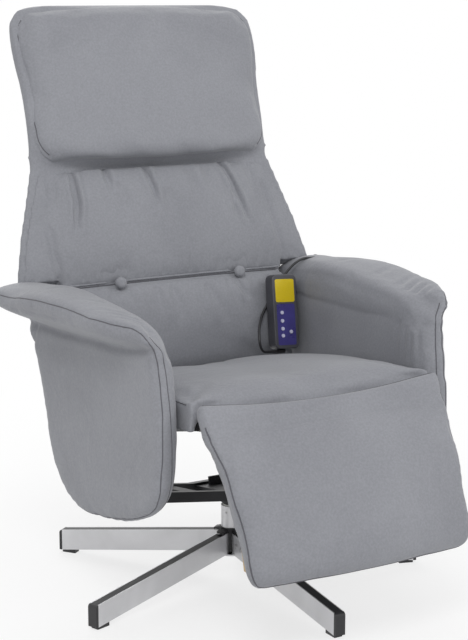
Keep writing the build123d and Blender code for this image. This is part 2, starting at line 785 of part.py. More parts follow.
def build_arm_bolts():
    board_outer = ARM_OUTER - ARM_COVER_THICKNESS
    with BuildPart() as bolts:
        for side in (-1, 1):
            for end in (-1, 1):
                plane = arm_bolt_plane(side, end)
                with BuildSketch(plane.offset(-STEEL)):
                    Circle(ARM_BOLT_HEAD_RADIUS)
                extrude(amount=-ARM_BOLT_HEAD_HEIGHT)
                with BuildSketch(plane.offset(-STEEL)):
                    Circle(ARM_BOLT_RADIUS)
                extrude(amount=board_outer - ARM_INNER + STEEL)
            for share in SPACER_SHARES:
                with BuildSketch(seat_bolt_plane(side, share)):
                    Circle(ARM_BOLT_RADIUS)
                extrude(amount=board_outer - SIDE_PLATE_INNER - STEEL - FIT)
    save("arm_bolts", bolts)


SEAT_PLANE = Plane(
    origin=(0, -SEAT_FRONT, SEAT_UNDERSIDE_FRONT),
    x_dir=(1, 0, 0),
    z_dir=(0, sin(radians(SEAT_TILT)), cos(radians(SEAT_TILT))),
)
LEGREST_PIVOT = SEAT_PLANE.to_local_coords(Vector(0, LEGREST_PIVOT_Y, LEGREST_PIVOT_Z))
CUSHION_FRONT = LEGREST_PIVOT.Y + LEGREST_KNUCKLE_RADIUS + SOFT_GAP
CUSHION_REAR = SEAT_DEPTH - SEAT_CORNER
CUSHION_LOW = FRAME_THICKNESS + SOFT_GAP


def seat_section(x, lower):
    """Side view of the seat cushion at one distance from the middle."""
    plane = Plane(origin=SEAT_PLANE.from_local_coords((x, 0, 0)), x_dir=SEAT_PLANE.y_dir, z_dir=(1, 0, 0))
    front = CUSHION_FRONT
    rear = CUSHION_REAR
    along, down = NOSE_ARC_SHARES
    nose = SEAT_NOSE_HEIGHT - lower
    crown = SEAT_CROWN_HEIGHT - lower
    tail = SEAT_REAR_HEIGHT - lower
    with BuildSketch(plane) as section:
        with BuildLine():
            Line((front, CUSHION_LOW), (front, nose - SEAT_CORNER))
            ThreePointArc(
                (front, nose - SEAT_CORNER),
                (front + SEAT_CORNER * along, nose - SEAT_CORNER * down),
                (front + SEAT_CORNER, nose),
            )
            ThreePointArc((front + SEAT_CORNER, nose), ((front + rear) / 2, crown), (rear, tail))
            Line((rear, tail), (rear, CUSHION_LOW))
            Line((rear, CUSHION_LOW), (front, CUSHION_LOW))
        make_face()
    return section.sketch


def seat_motor_places():
    return [(side * SEAT_MOTOR_POSITION, SEAT_MOTOR_SETBACK) for side in (-1, 1)]


def build_seat():
    right = [(across * SEAT_HALF_WIDTH, down * SEAT_NOSE_HEIGHT) for across, down in SEAT_SHARES]
    left = [(-x, down) for x, down in reversed(right[1:])]
    with BuildPart() as cushion:
        loft([seat_section(x, lower) for x, lower in left + right])
        with BuildSketch(SEAT_PLANE.offset(CUSHION_LOW)):
            with Locations(*seat_motor_places()):
                Circle(MOTOR_RADIUS + SOFT_GAP)
        extrude(amount=MOTOR_HEIGHT + SOFT_GAP, mode=Mode.SUBTRACT)
    save("seat_cushion", cushion)

    first = FRAME_FRONT_GAP
    last = SEAT_DEPTH - FRAME_REAR_GAP
    middle = (first + last) / 2
    with BuildPart() as frame:
        with BuildSketch(SEAT_PLANE):
            with Locations((0, middle)):
                Rectangle(2 * FRAME_HALF_WIDTH, last - first)
                Rectangle(2 * (FRAME_HALF_WIDTH - FRAME_RAIL), last - first - 2 * FRAME_RAIL, mode=Mode.SUBTRACT)
            with Locations((0, SEAT_MOTOR_SETBACK)):
                Rectangle(2 * FRAME_HALF_WIDTH - FRAME_RAIL, 2 * MOTOR_RADIUS)
        extrude(amount=FRAME_THICKNESS)
    save("seat_frame", frame)

    with BuildPart() as motors:
        with BuildSketch(SEAT_PLANE.offset(FRAME_THICKNESS)):
            with Locations(*seat_motor_places()):
                Circle(MOTOR_RADIUS)
        extrude(amount=MOTOR_HEIGHT)
    save("seat_motors", motors)

    start = SEAT_MOTOR_SETBACK + MOTOR_RADIUS
    with BuildPart() as springs:
        for number in range(SEAT_SPRING_COUNT):
            x = (number - (SEAT_SPRING_COUNT - 1) / 2) * SEAT_SPRING_SPACING
            sinuous_spring(SEAT_PLANE.offset(FRAME_THICKNESS / 2), x, start, last - FRAME_RAIL)
    save("seat_springs", springs)


def build_dust_cover():
    """Cloth tacked under the seat frame, below springs and motors."""
    first = FRAME_FRONT_GAP
    last = SEAT_DEPTH - FRAME_REAR_GAP
    with BuildPart() as cover:
        with BuildSketch(SEAT_PLANE):
            with Locations((0, (first + last) / 2)):
                Rectangle(2 * FRAME_HALF_WIDTH, last - first)
        extrude(amount=-DUST_COVER)
    save("seat_dust_cover", cover)


def sinuous_spring(plane, x, start, end):
    """A flat zigzag spring with round bends, from rail to rail."""
    count = int((end - start) / SPRING_PITCH)
    start += SPRING_WIRE / 2
    end -= SPRING_WIRE / 2
    pitch = (end - start) / count
    points = [(x, start)]
    for turn in range(count):
        swing = SPRING_HALF_WAVE if turn % 2 else -SPRING_HALF_WAVE
        points.append((x + swing, start + (turn + 0.5) * pitch))
    points.append((x, end))
    with BuildLine(plane) as route:
        FilletPolyline(*points, radius=pitch * SPRING_BEND_SHARE)
    with BuildSketch(Plane(origin=route.line @ 0, z_dir=route.line % 0)) as wire:
        Circle(SPRING_WIRE / 2)
    sweep(wire.sketch, path=route.line)


def side_view(x):
    """Upright plane seen from the viewer's right, with y to the right."""
    return Plane(origin=(x, 0, 0), x_dir=(0, 1, 0), z_dir=(1, 0, 0))


def build_side_plates():
    """Fixed hinge plates from the legrest pivot back to the backrest pivot."""
    pivot = LEGREST_PIVOT
    hinge = SEAT_PLANE.to_local_coords(Vector(0, HINGE_Y, HINGE_Z))
    front = CUSHION_FRONT - SOFT_GAP
    with BuildPart() as plates:
        for side in (-1, 1):
            origin = SEAT_PLANE.from_local_coords((side * SIDE_PLATE_INNER, 0, 0))
            plane = Plane(origin=origin, x_dir=SEAT_PLANE.y_dir, z_dir=(1, 0, 0))
            with BuildSketch(plane):
                with BuildLine():
                    Polyline(
                        (pivot.Y - HINGE_PLATE_RADIUS, pivot.Z),
                        (FRAME_FRONT_GAP, 0),
                        (SEAT_DEPTH - FRAME_REAR_GAP, 0),
                        (hinge.Y, hinge.Z - HINGE_BOSS_RADIUS),
                        (hinge.Y, hinge.Z + HINGE_BOSS_RADIUS),
                        (CUSHION_REAR + 2 * SOFT_GAP, FRAME_THICKNESS),
                        (front, FRAME_THICKNESS),
                        (front, pivot.Z),
                        close=True,
                    )
                make_face()
                with Locations((pivot.Y, pivot.Z)):
                    Circle(HINGE_PLATE_RADIUS)
                with Locations((hinge.Y, hinge.Z)):
                    Circle(HINGE_BOSS_RADIUS)
                with Locations((pivot.Y, pivot.Z), (hinge.Y, hinge.Z)):
                    Circle(HINGE_PIN_RADIUS + RUN_FIT, mode=Mode.SUBTRACT)
            extrude(amount=side * STEEL)
            for share in SPACER_SHARES:
                with BuildSketch(seat_bolt_plane(side, share)):
                    Circle(ARM_SPACER_RADIUS)
                    Circle(ARM_BOLT_RADIUS + RUN_FIT, mode=Mode.SUBTRACT)
                extrude(amount=ARM_INNER - FIT - SIDE_PLATE_INNER - STEEL)
    save("side_plates", plates)


def back_plane(height):
    """Section plane across the backrest; local y runs to the front."""
    tilt = radians(BACK_TILT)
    origin = (0, HINGE_Y + height * sin(tilt), HINGE_Z + height * cos(tilt))
    return Plane(origin=origin, x_dir=(1, 0, 0), z_dir=(0, -sin(tilt), -cos(tilt)))


def back_face(level):
    """Plane parallel to the backrest's front; local y runs up the back."""
    tilt = radians(BACK_TILT)
    forward = (0, -cos(tilt), sin(tilt))
    origin = (0, HINGE_Y + level * forward[1], HINGE_Z + level * forward[2])
    return Plane(origin=origin, x_dir=(1, 0, 0), z_dir=forward)


def back_side(x):
    """Upright plane in the backrest's own frame; x runs forward, y up."""
    face = back_face(0)
    return Plane(origin=(x, HINGE_Y, HINGE_Z), x_dir=face.z_dir, z_dir=(-1, 0, 0))


def pad_section(plane, half, back, edge, crown):
    """Section of a cushion: flat back, sides drawn in, crowned front."""
    inner = half - (edge - back) * DRAW_SHARE
    middle = (back + edge) / 2
    with BuildSketch(plane) as section:
        with BuildLine():
            Line((-inner, back), (inner, back))
            ThreePointArc((inner, back), (half, middle), (inner, edge))
            ThreePointArc((inner, edge), (0, crown), (-inner, edge))
            ThreePointArc((-inner, edge), (-half, middle), (-inner, back))
        make_face()
    return section.sketch


def build_cushion(name, low, high, half, thickness, shares, motor_height=0):
    """A backrest cushion lofted up the back, with pockets for its motors."""
    back = BACK_FRAME_FRONT + SOFT_GAP
    sections = []
    for up, width, edge, crown in shares:
        plane = back_plane(low + up * (high - low))
        sections.append(pad_section(plane, half * width, back, back + edge * thickness, back + crown * thickness))
    with BuildPart() as cushion:
        loft(sections)
        if motor_height:
            with BuildSketch(back_face(back)):
                with Locations(*motor_places(motor_height)):
                    Circle(MOTOR_RADIUS + SOFT_GAP)
            extrude(amount=MOTOR_HEIGHT + SOFT_GAP, mode=Mode.SUBTRACT)
        if low < ARM_RELIEF_TOP:
            arm_relief(back)
        with BuildSketch(back_face(back)):
            with Locations(*button_places()):
                Circle(BUTTON_STALK_RADIUS + SOFT_GAP)
        extrude(amount=BUTTON_FACE, mode=Mode.SUBTRACT)
        with BuildSketch(back_face(BUTTON_FACE - BUTTON_HEIGHT - SOFT_GAP)):
            with Locations(*button_places()):
                Circle(BUTTON_RADIUS + SOFT_GAP)
        extrude(amount=BUTTON_FACE, mode=Mode.SUBTRACT)
    save(name, cushion)


def arm_relief(level):
    """Clear the arms' rear ends below the wings."""
    room = WING_HALF_WIDTH - LUMBAR_HALF_WIDTH
    clear = ARM_INNER - SOFT_GAP
    with BuildSketch(back_face(level)) as face:
        with Locations((-clear - room, 0), (clear + room, 0)):
            Rectangle(2 * room, 2 * ARM_RELIEF_TOP)
    extrude(face.sketch, amount=BUTTON_FACE + BACK_FRAME_FRONT, mode=Mode.SUBTRACT)


def motor_places(height):
    return [(-BACK_MOTOR_POSITION, height), (BACK_MOTOR_POSITION, height)]


def button_places():
    return [(-BUTTON_POSITION, LUMBAR_TOP), (BUTTON_POSITION, LUMBAR_TOP)]


def build_shell():
    front = BACK_FRAME_FRONT
    low = BACK_BOTTOM
    high = BACK_TOP - BACK_FRAME_TOP_GAP
    with BuildPart() as shell:
        for up, width, rear, narrow in SHELL_SHARES:
            plane = back_plane(BACK_BOTTOM + up * (BACK_TOP - BACK_BOTTOM))
            half = WING_HALF_WIDTH * width
            depth = SHELL_DEPTH * rear
            corner = front - depth * (1 - SHELL_CORNER_SHARE)
            rear_half = half * narrow
            with BuildSketch(plane):
                with BuildLine():
                    Line((-half, front), (half, front))
                    Line((half, front), (rear_half, corner))
                    ThreePointArc((rear_half, corner), (0, front - depth), (-rear_half, corner))
                    Line((-rear_half, corner), (-half, front))
                make_face()
        loft()
        with BuildSketch(back_face(front)):
            with Locations((0, (low + high) / 2)):
                Rectangle(2 * (BACK_FRAME_HALF_WIDTH + SOFT_GAP), high - low + 2 * SOFT_GAP)
        extrude(amount=-FRAME_THICKNESS - SOFT_GAP, mode=Mode.SUBTRACT)
        arm_relief(-ARM_RELIEF_DEPTH)
        for side in (-1, 1):
            with BuildSketch(back_side(side * (SIDE_PLATE_INNER - FIT))):
                with Locations((front, BACK_BOTTOM)):
                    Rectangle(2 * (front + HINGE_BOSS_RADIUS), 2 * BACK_BOARD_HEIGHT + 2 * FIT)
            extrude(amount=HINGE_ROOM, both=True, mode=Mode.SUBTRACT)
        with BuildSketch(back_side(0)):
            with Locations((front, BACK_BOTTOM)):
                Rectangle(2 * (front + HINGE_BOSS_RADIUS), 2 * BACK_BOARD_HEIGHT)
        extrude(amount=LEVER_ROOM, both=True, mode=Mode.SUBTRACT)
    save("back_shell", shell)


def build_back_frame():
    low = BACK_BOTTOM
    high = BACK_TOP - BACK_FRAME_TOP_GAP
    rear = BACK_FRAME_FRONT - FRAME_THICKNESS
    boards = [BACK_MOTOR_HEIGHT - BACK_BOARD_HEIGHT / 4, HEAD_MOTOR_HEIGHT]
    with BuildPart() as frame:
        with BuildSketch(back_face(rear)):
            with Locations((0, (low + high) / 2)):
                Rectangle(2 * BACK_FRAME_HALF_WIDTH, high - low)
                Rectangle(
                    2 * (BACK_FRAME_HALF_WIDTH - FRAME_RAIL), high - low - 2 * FRAME_RAIL, mode=Mode.SUBTRACT
                )
            with Locations(*[(0, height) for height in boards]):
                Rectangle(2 * BACK_FRAME_HALF_WIDTH - FRAME_RAIL, BACK_BOARD_HEIGHT)
            with Locations(*button_places()):
                Circle(BUTTON_STALK_RADIUS + RUN_FIT, mode=Mode.SUBTRACT)
        extrude(amount=FRAME_THICKNESS)
    save("back_frame", frame)

    with BuildPart() as springs:
        for number in range(BACK_SPRING_COUNT):
            x = (number - (BACK_SPRING_COUNT - 1) / 2) * BACK_SPRING_SPACING
            middle = back_face(BACK_FRAME_FRONT - FRAME_THICKNESS / 2)
            sinuous_spring(middle, x, boards[0] + BACK_BOARD_HEIGHT / 2, boards[1] - BACK_BOARD_HEIGHT / 2)
    save("back_springs", springs)

    with BuildPart() as motors:
        with BuildSketch(back_face(BACK_FRAME_FRONT)):
            with Locations(*motor_places(BACK_MOTOR_HEIGHT), *motor_places(HEAD_MOTOR_HEIGHT)):
                Circle(MOTOR_RADIUS)
        extrude(amount=MOTOR_HEIGHT)
    save("back_motors", motors)

    with BuildPart() as buttons:
        with BuildSketch(back_face(BUTTON_FACE)):
            with Locations(*button_places()):
                Circle(BUTTON_RADIUS)
        extrude(amount=-BUTTON_HEIGHT)
        crowns = buttons.faces().sort_by(Axis((0, 0, 0), back_face(0).z_dir))[-2:]
        fillet(crowns.edges(), BUTTON_HEIGHT * BUTTON_CROWN_SHARE)
        with BuildSketch(back_face(BUTTON_FACE - BUTTON_HEIGHT)):
            with Locations(*button_places()):
                Circle(BUTTON_STALK_RADIUS)
        extrude(amount=rear - BUTTON_FACE + BUTTON_HEIGHT)
    save("tuft_buttons", buttons)


def build_back_hinges():
    """Plates on the back frame that turn on the side plates' pins."""
    rear = BACK_FRAME_FRONT - FRAME_THICKNESS
    outer = SIDE_PLATE_INNER - FIT
    top = BACK_BOTTOM + BACK_BOARD_HEIGHT
    with BuildPart() as brackets:
        for side in (-1, 1):
            with BuildSketch(back_side(side * outer)):
                with BuildLine():
                    Polyline(
                        (-HINGE_BOSS_RADIUS, 0),
                        (rear, top),
                        (BACK_FRAME_FRONT, top),
                        (BACK_FRAME_FRONT, BACK_BOTTOM),
                        (HINGE_BOSS_RADIUS, 0),
                        close=True,
                    )
                make_face()
                Circle(HINGE_BOSS_RADIUS)
                Circle(HINGE_PIN_RADIUS + RUN_FIT, mode=Mode.SUBTRACT)
            extrude(amount=side * STEEL)
            with BuildSketch(back_side(side * (outer - STEEL))):
                with Locations(((rear + BACK_FRAME_FRONT) / 2, (top + BACK_BOTTOM) / 2)):
                    Rectangle(FRAME_THICKNESS, BACK_BOARD_HEIGHT)
            extrude(amount=side * (outer - STEEL - BACK_FRAME_HALF_WIDTH))
        tip = back_lever_tip()
        with BuildSketch(back_side(LEVER_THICKNESS / 2)):
            with BuildLine():
                Polyline(
                    (rear, BACK_BOTTOM - FIT),
                    (BACK_FRAME_FRONT, BACK_BOTTOM - FIT),
                    (tip.X + LEVER_WIDTH / 2, tip.Y),
                    (tip.X - LEVER_WIDTH / 2, tip.Y),
                    close=True,
                )
            make_face()
            with Locations((tip.X, tip.Y)):
                Circle(LEVER_WIDTH / 2)
        extrude(amount=LEVER_THICKNESS)
        with BuildSketch(back_side(LEVER_THICKNESS / 2)):
            with Locations((tip.X, tip.Y)):
                Circle(LINK_PIN_RADIUS)
        extrude(amount=-LINK_THICKNESS - 2 * FIT)
    save("back_brackets", brackets)

    with BuildPart() as pins:
        for side in (-1, 1):
            for y, z in ((HINGE_Y, HINGE_Z), (LEGREST_PIVOT_Y, LEGREST_PIVOT_Z)):
                place = (side * (SIDE_PLATE_INNER + STEEL), y, z)
                plane = Plane(origin=place, x_dir=(0, 1, 0), z_dir=(side, 0, 0))
                with BuildSketch(plane):
                    Circle(PIN_HEAD_RADIUS)
                extrude(amount=PIN_HEAD_HEIGHT)
                with BuildSketch(plane):
                    Circle(HINGE_PIN_RADIUS)
                extrude(amount=-2 * STEEL - FIT)
    save("hinge_pins", pins)


def back_lever_tip():
    """Tip of the backrest's lever in the backrest's own frame: forward, up."""
    swing = radians(RECLINE_MAX / 2 + BACK_TILT)
    return Vector(-BACK_LEVER_LENGTH * sin(swing), -BACK_LEVER_LENGTH * cos(swing), 0)


def back_tip_place():
    """The same tip in the chair's frame, at rest."""
    swing = radians(RECLINE_MAX / 2)
    return (HINGE_Y + BACK_LEVER_LENGTH * sin(swing), HINGE_Z - BACK_LEVER_LENGTH * cos(swing))


def legrest_tip_place():
    """Tip of the legrest's lever at rest."""
    swing = radians(LEGREST_MAX / 2)
    return (
        LEGREST_PIVOT_Y + LEGREST_LEVER_LENGTH * sin(swing),
        LEGREST_PIVOT_Z - LEGREST_LEVER_LENGTH * cos(swing),
    )


def build_link():
    rear_y, rear_z = back_tip_place()
    front_y, front_z = legrest_tip_place()
    angle = degrees(atan2(rear_z - front_z, rear_y - front_y))
    length = ((rear_y - front_y) ** 2 + (rear_z - front_z) ** 2) ** 0.5
    with BuildPart() as link:
        with BuildSketch(side_view(LEVER_THICKNESS / 2 + FIT)):
            with Locations(Location(((rear_y + front_y) / 2, (rear_z + front_z) / 2), angle)):
                Rectangle(length, LINK_HEIGHT)
            with Locations((rear_y, rear_z)):
                Circle(LINK_HEIGHT / 2)
            with Locations((front_y, front_z)):
                RectangleRounded(LINK_HEIGHT + FIT, LINK_HEIGHT + LINK_SLOT_LENGTH, LINK_HEIGHT / 2)
            with Locations((rear_y, rear_z)):
                Circle(LINK_PIN_RADIUS + RUN_FIT, mode=Mode.SUBTRACT)
            with Locations((front_y, front_z)):
                slot = 2 * (LINK_PIN_RADIUS + LINK_SLOT_ROOM)
                Rectangle(slot, slot + LINK_SLOT_LENGTH, mode=Mode.SUBTRACT)
        extrude(amount=LINK_THICKNESS)
    save("push_link", link)


def legrest_section(up, rear_share, edge_share, crown_share, width_share):
    """Level section of the legrest pad, crowned towards the front."""
    height = LEGREST_BOTTOM + up * (LEGREST_PIVOT_Z - LEGREST_BOTTOM)
    rear = -LEGREST_PIVOT_Y - LEGREST_KNUCKLE_RADIUS * KNUCKLE_SHARE + rear_share * LEGREST_REAR_REACH
    edge = -LEGREST_PIVOT_Y + LEGREST_KNUCKLE_RADIUS * KNUCKLE_SHARE + edge_share * LEGREST_REACH
    crown = edge + crown_share * LEGREST_CROWN
    half = LEGREST_HALF_WIDTH * width_share
    plane = Plane(origin=(0, 0, height), x_dir=(1, 0, 0), z_dir=(0, 0, -1))
    return pad_section(plane, half, rear, edge, crown)


def board_points(shift):
    """Three points of the legrest board's curve, moved forward by a shift."""
    rise = LEGREST_PIVOT_Z - LEGREST_BOTTOM
    rear = LEGREST_PIVOT_Y + LEGREST_KNUCKLE_RADIUS * KNUCKLE_SHARE
    points = []
    for up, reach in BOARD_SHARES:
        points.append((rear - reach * LEGREST_REAR_REACH - shift, LEGREST_BOTTOM + up * rise))
    return points


def board_face(shift_rear, shift_front):
    """Side view of a strip between two copies of the board's curve."""
    rear = board_points(shift_rear)
    front = board_points(shift_front)
    with BuildSketch(side_view(0)) as face:
        with BuildLine():
            ThreePointArc(*rear)
            ThreePointArc(*front)
            Line(rear[0], front[0])
            Line(rear[2], front[2])
        make_face()
    return face.sketch


def build_legrest():
    board_half = SIDE_PLATE_INNER - FIT - STEEL - FIT
    thick = LEGREST_BOARD_THICKNESS
    y = LEGREST_PIVOT_Y
    z = LEGREST_PIVOT_Z
    top_rear = board_points(0)[0]
    top_front = board_points(thick)[0]
    low_rear = board_points(0)[1]
    board_slope = (low_rear[0] - top_rear[0]) / (top_rear[1] - low_rear[1])
    with BuildPart() as pad:
        loft([legrest_section(*shares) for shares in LEGREST_SHARES])
        with BuildSketch(side_view(-LEGREST_HALF_WIDTH)):
            with Locations((y, z)):
                Circle(LEGREST_KNUCKLE_RADIUS)
        extrude(amount=2 * LEGREST_HALF_WIDTH)
        extrude(
            board_face(-thick, thick + SOFT_GAP),
            amount=board_half + FIT + STEEL + SOFT_GAP, both=True, mode=Mode.SUBTRACT,
        )
        for side in (-1, 1):
            inner = side * (board_half + FIT - SOFT_GAP)
            with BuildSketch(side_view(inner)):
                with BuildLine():
                    Polyline(
                        (y - HINGE_PLATE_RADIUS - SOFT_GAP, z),
                        (top_front[0] - SOFT_GAP, top_front[1] - SOFT_GAP),
                        (y + 2 * LEGREST_KNUCKLE_RADIUS, top_front[1] - SOFT_GAP),
                        (y + 2 * LEGREST_KNUCKLE_RADIUS, z + 2 * LEGREST_KNUCKLE_RADIUS),
                        (y, z + 2 * LEGREST_KNUCKLE_RADIUS),
                        (y, z),
                        close=True,
                    )
                make_face()
                with Locations((y, z)):
                    Circle(HINGE_PLATE_RADIUS + SOFT_GAP)
            extrude(amount=side * (3 * STEEL + PIN_HEAD_HEIGHT), mode=Mode.SUBTRACT)
    save("legrest_cushion", pad)

    with BuildPart() as board:
        extrude(board_face(0, thick), amount=board_half, both=True)
    save("legrest_board", board)

    tip_y, tip_z = legrest_tip_place()
    with BuildPart() as brackets:
        for side in (-1, 1):
            with BuildSketch(side_view(side * (board_half + FIT))):
                with BuildLine():
                    Polyline(
                        (y - HINGE_PLATE_RADIUS, z),
                        top_front,
                        ((low_rear[0] + top_rear[0] - thick) / 2, (low_rear[1] + top_rear[1]) / 2),
                        ((low_rear[0] + top_rear[0]) / 2 + thick, (low_rear[1] + top_rear[1]) / 2),
                        (y + HINGE_PLATE_RADIUS, z),
                        close=True,
                    )
                make_face()
                with Locations((y, z)):
                    Circle(HINGE_PLATE_RADIUS)
                    Circle(HINGE_PIN_RADIUS + RUN_FIT, mode=Mode.SUBTRACT)
            extrude(amount=side * STEEL)
        with BuildSketch(side_view(-LEVER_THICKNESS / 2)):
            with BuildLine():
                Polyline(
                    (top_rear[0] + FIT, top_rear[1]),
                    (tip_y, tip_z + LEVER_WIDTH / 2),
                    (tip_y, tip_z - LEVER_WIDTH / 2),
                    (top_rear[0] + FIT + 2 * LEVER_WIDTH * board_slope, top_rear[1] - 2 * LEVER_WIDTH),
                    close=True,
                )
            make_face()
            with Locations((tip_y, tip_z)):
                Circle(LEVER_WIDTH / 2)
        extrude(amount=LEVER_THICKNESS)
        with BuildSketch(side_view(LEVER_THICKNESS / 2)):
            with Locations((tip_y, tip_z)):
                Circle(LINK_PIN_RADIUS)
        extrude(amount=LINK_THICKNESS + 2 * FIT)
    save("legrest_brackets", brackets)


def box_plane():
    """Top of the control box, on the underside of the seat frame."""
    middle = (BOX_INNER_SIDE + BOX_LENGTH / 2, BOX_SETBACK + BOX_WIDTH / 2, -DUST_COVER)
    return Plane(origin=SEAT_PLANE.from_local_coords(middle), x_dir=(1, 0, 0), z_dir=SEAT_PLANE.z_dir)


def gland_plane():
    """Outer end of the cord gland on the control box, facing the arm."""
    top = box_plane()
    reach = BOX_LENGTH / 2 + GLAND_LENGTH
    return Plane(origin=top.from_local_coords((reach, 0, -BOX_HEIGHT / 2)), x_dir=top.y_dir, z_dir=top.x_dir)


def build_control_box():
    top = box_plane()
    with BuildPart() as box:
        with BuildSketch(top):
            RectangleRounded(BOX_LENGTH, BOX_WIDTH, BOX_CORNER)
        extrude(amount=-BOX_HEIGHT)
        with BuildSketch(top.offset(-BOX_WALL)):
            RectangleRounded(BOX_LENGTH - 2 * BOX_WALL, BOX_WIDTH - 2 * BOX_WALL, BOX_CORNER - BOX_WALL)
        extrude(amount=-BOX_HEIGHT + 2 * BOX_WALL, mode=Mode.SUBTRACT)
        with BuildSketch(inlet_plane()):
            Circle(INLET_RADIUS + RUN_FIT)
        extrude(amount=-2 * BOX_WALL, mode=Mode.SUBTRACT)
    save("control_box", box)

    with BuildPart() as inlet:
        with BuildSketch(inlet_plane()):
            Circle(INLET_RADIUS + BOX_WALL)
        extrude(amount=BOX_WALL)
        with BuildSketch(inlet_plane()):
            Circle(INLET_RADIUS)
        extrude(amount=-INLET_LENGTH)
        with BuildSketch(inlet_plane().offset(BOX_WALL)):
            Circle(INLET_RADIUS - BOX_WALL)
        extrude(amount=-INLET_LENGTH, mode=Mode.SUBTRACT)
    save("power_inlet", inlet)

    with BuildPart() as gland:
        with BuildSketch(gland_plane()):
            Circle(RELIEF_RADIUS)
        extrude(amount=-GLAND_LENGTH / 2)
        with BuildSketch(gland_plane().offset(-GLAND_LENGTH / 2)):
            RegularPolygon(2 * RELIEF_RADIUS, 6)
        extrude(amount=-GLAND_LENGTH / 2)
    save("cord_gland", gland)


def inlet_plane():
    top = box_plane()
    return Plane(
        origin=top.from_local_coords((0, BOX_WIDTH / 2, -BOX_HEIGHT / 2)), x_dir=top.x_dir * -1, z_dir=top.y_dir
    )


def handset_plane():
    """Back face of the handset: y runs up it and z comes out of its front."""
    lean = radians(HANDSET_LEAN)
    roll = radians(HANDSET_ROLL)
    return Plane(
        origin=(HANDSET_X, HANDSET_Y, HANDSET_Z),
        x_dir=(cos(roll), -sin(lean) * sin(roll), -cos(lean) * sin(roll)),
        z_dir=(0, -cos(lean), sin(lean)),
    )


def handset_layer(level, inset):
    """Rounded outline of the handset at one depth, drawn in by an inset."""
    with BuildSketch(handset_plane().offset(level)) as outline:
        with Locations((0, HANDSET_LENGTH / 2)):
            RectangleRounded(HANDSET_WIDTH - 2 * inset, HANDSET_LENGTH - 2 * inset, HANDSET_CORNER - inset)
    return outline.sketch


KEYPAD_TOP = PANEL_MARGIN + KEYPAD_HEIGHT
WINDOW_MIDDLE = KEYPAD_TOP + PANEL_MARGIN / 2 + WINDOW_HEIGHT / 2


def key_places():
    left = [(-KEY_COLUMN, KEYPAD_TOP - share * KEYPAD_HEIGHT) for share in KEY_ROW_SHARES]
    return left + [(KEY_COLUMN, KEYPAD_TOP - LONE_KEY_SHARE * KEYPAD_HEIGHT)]


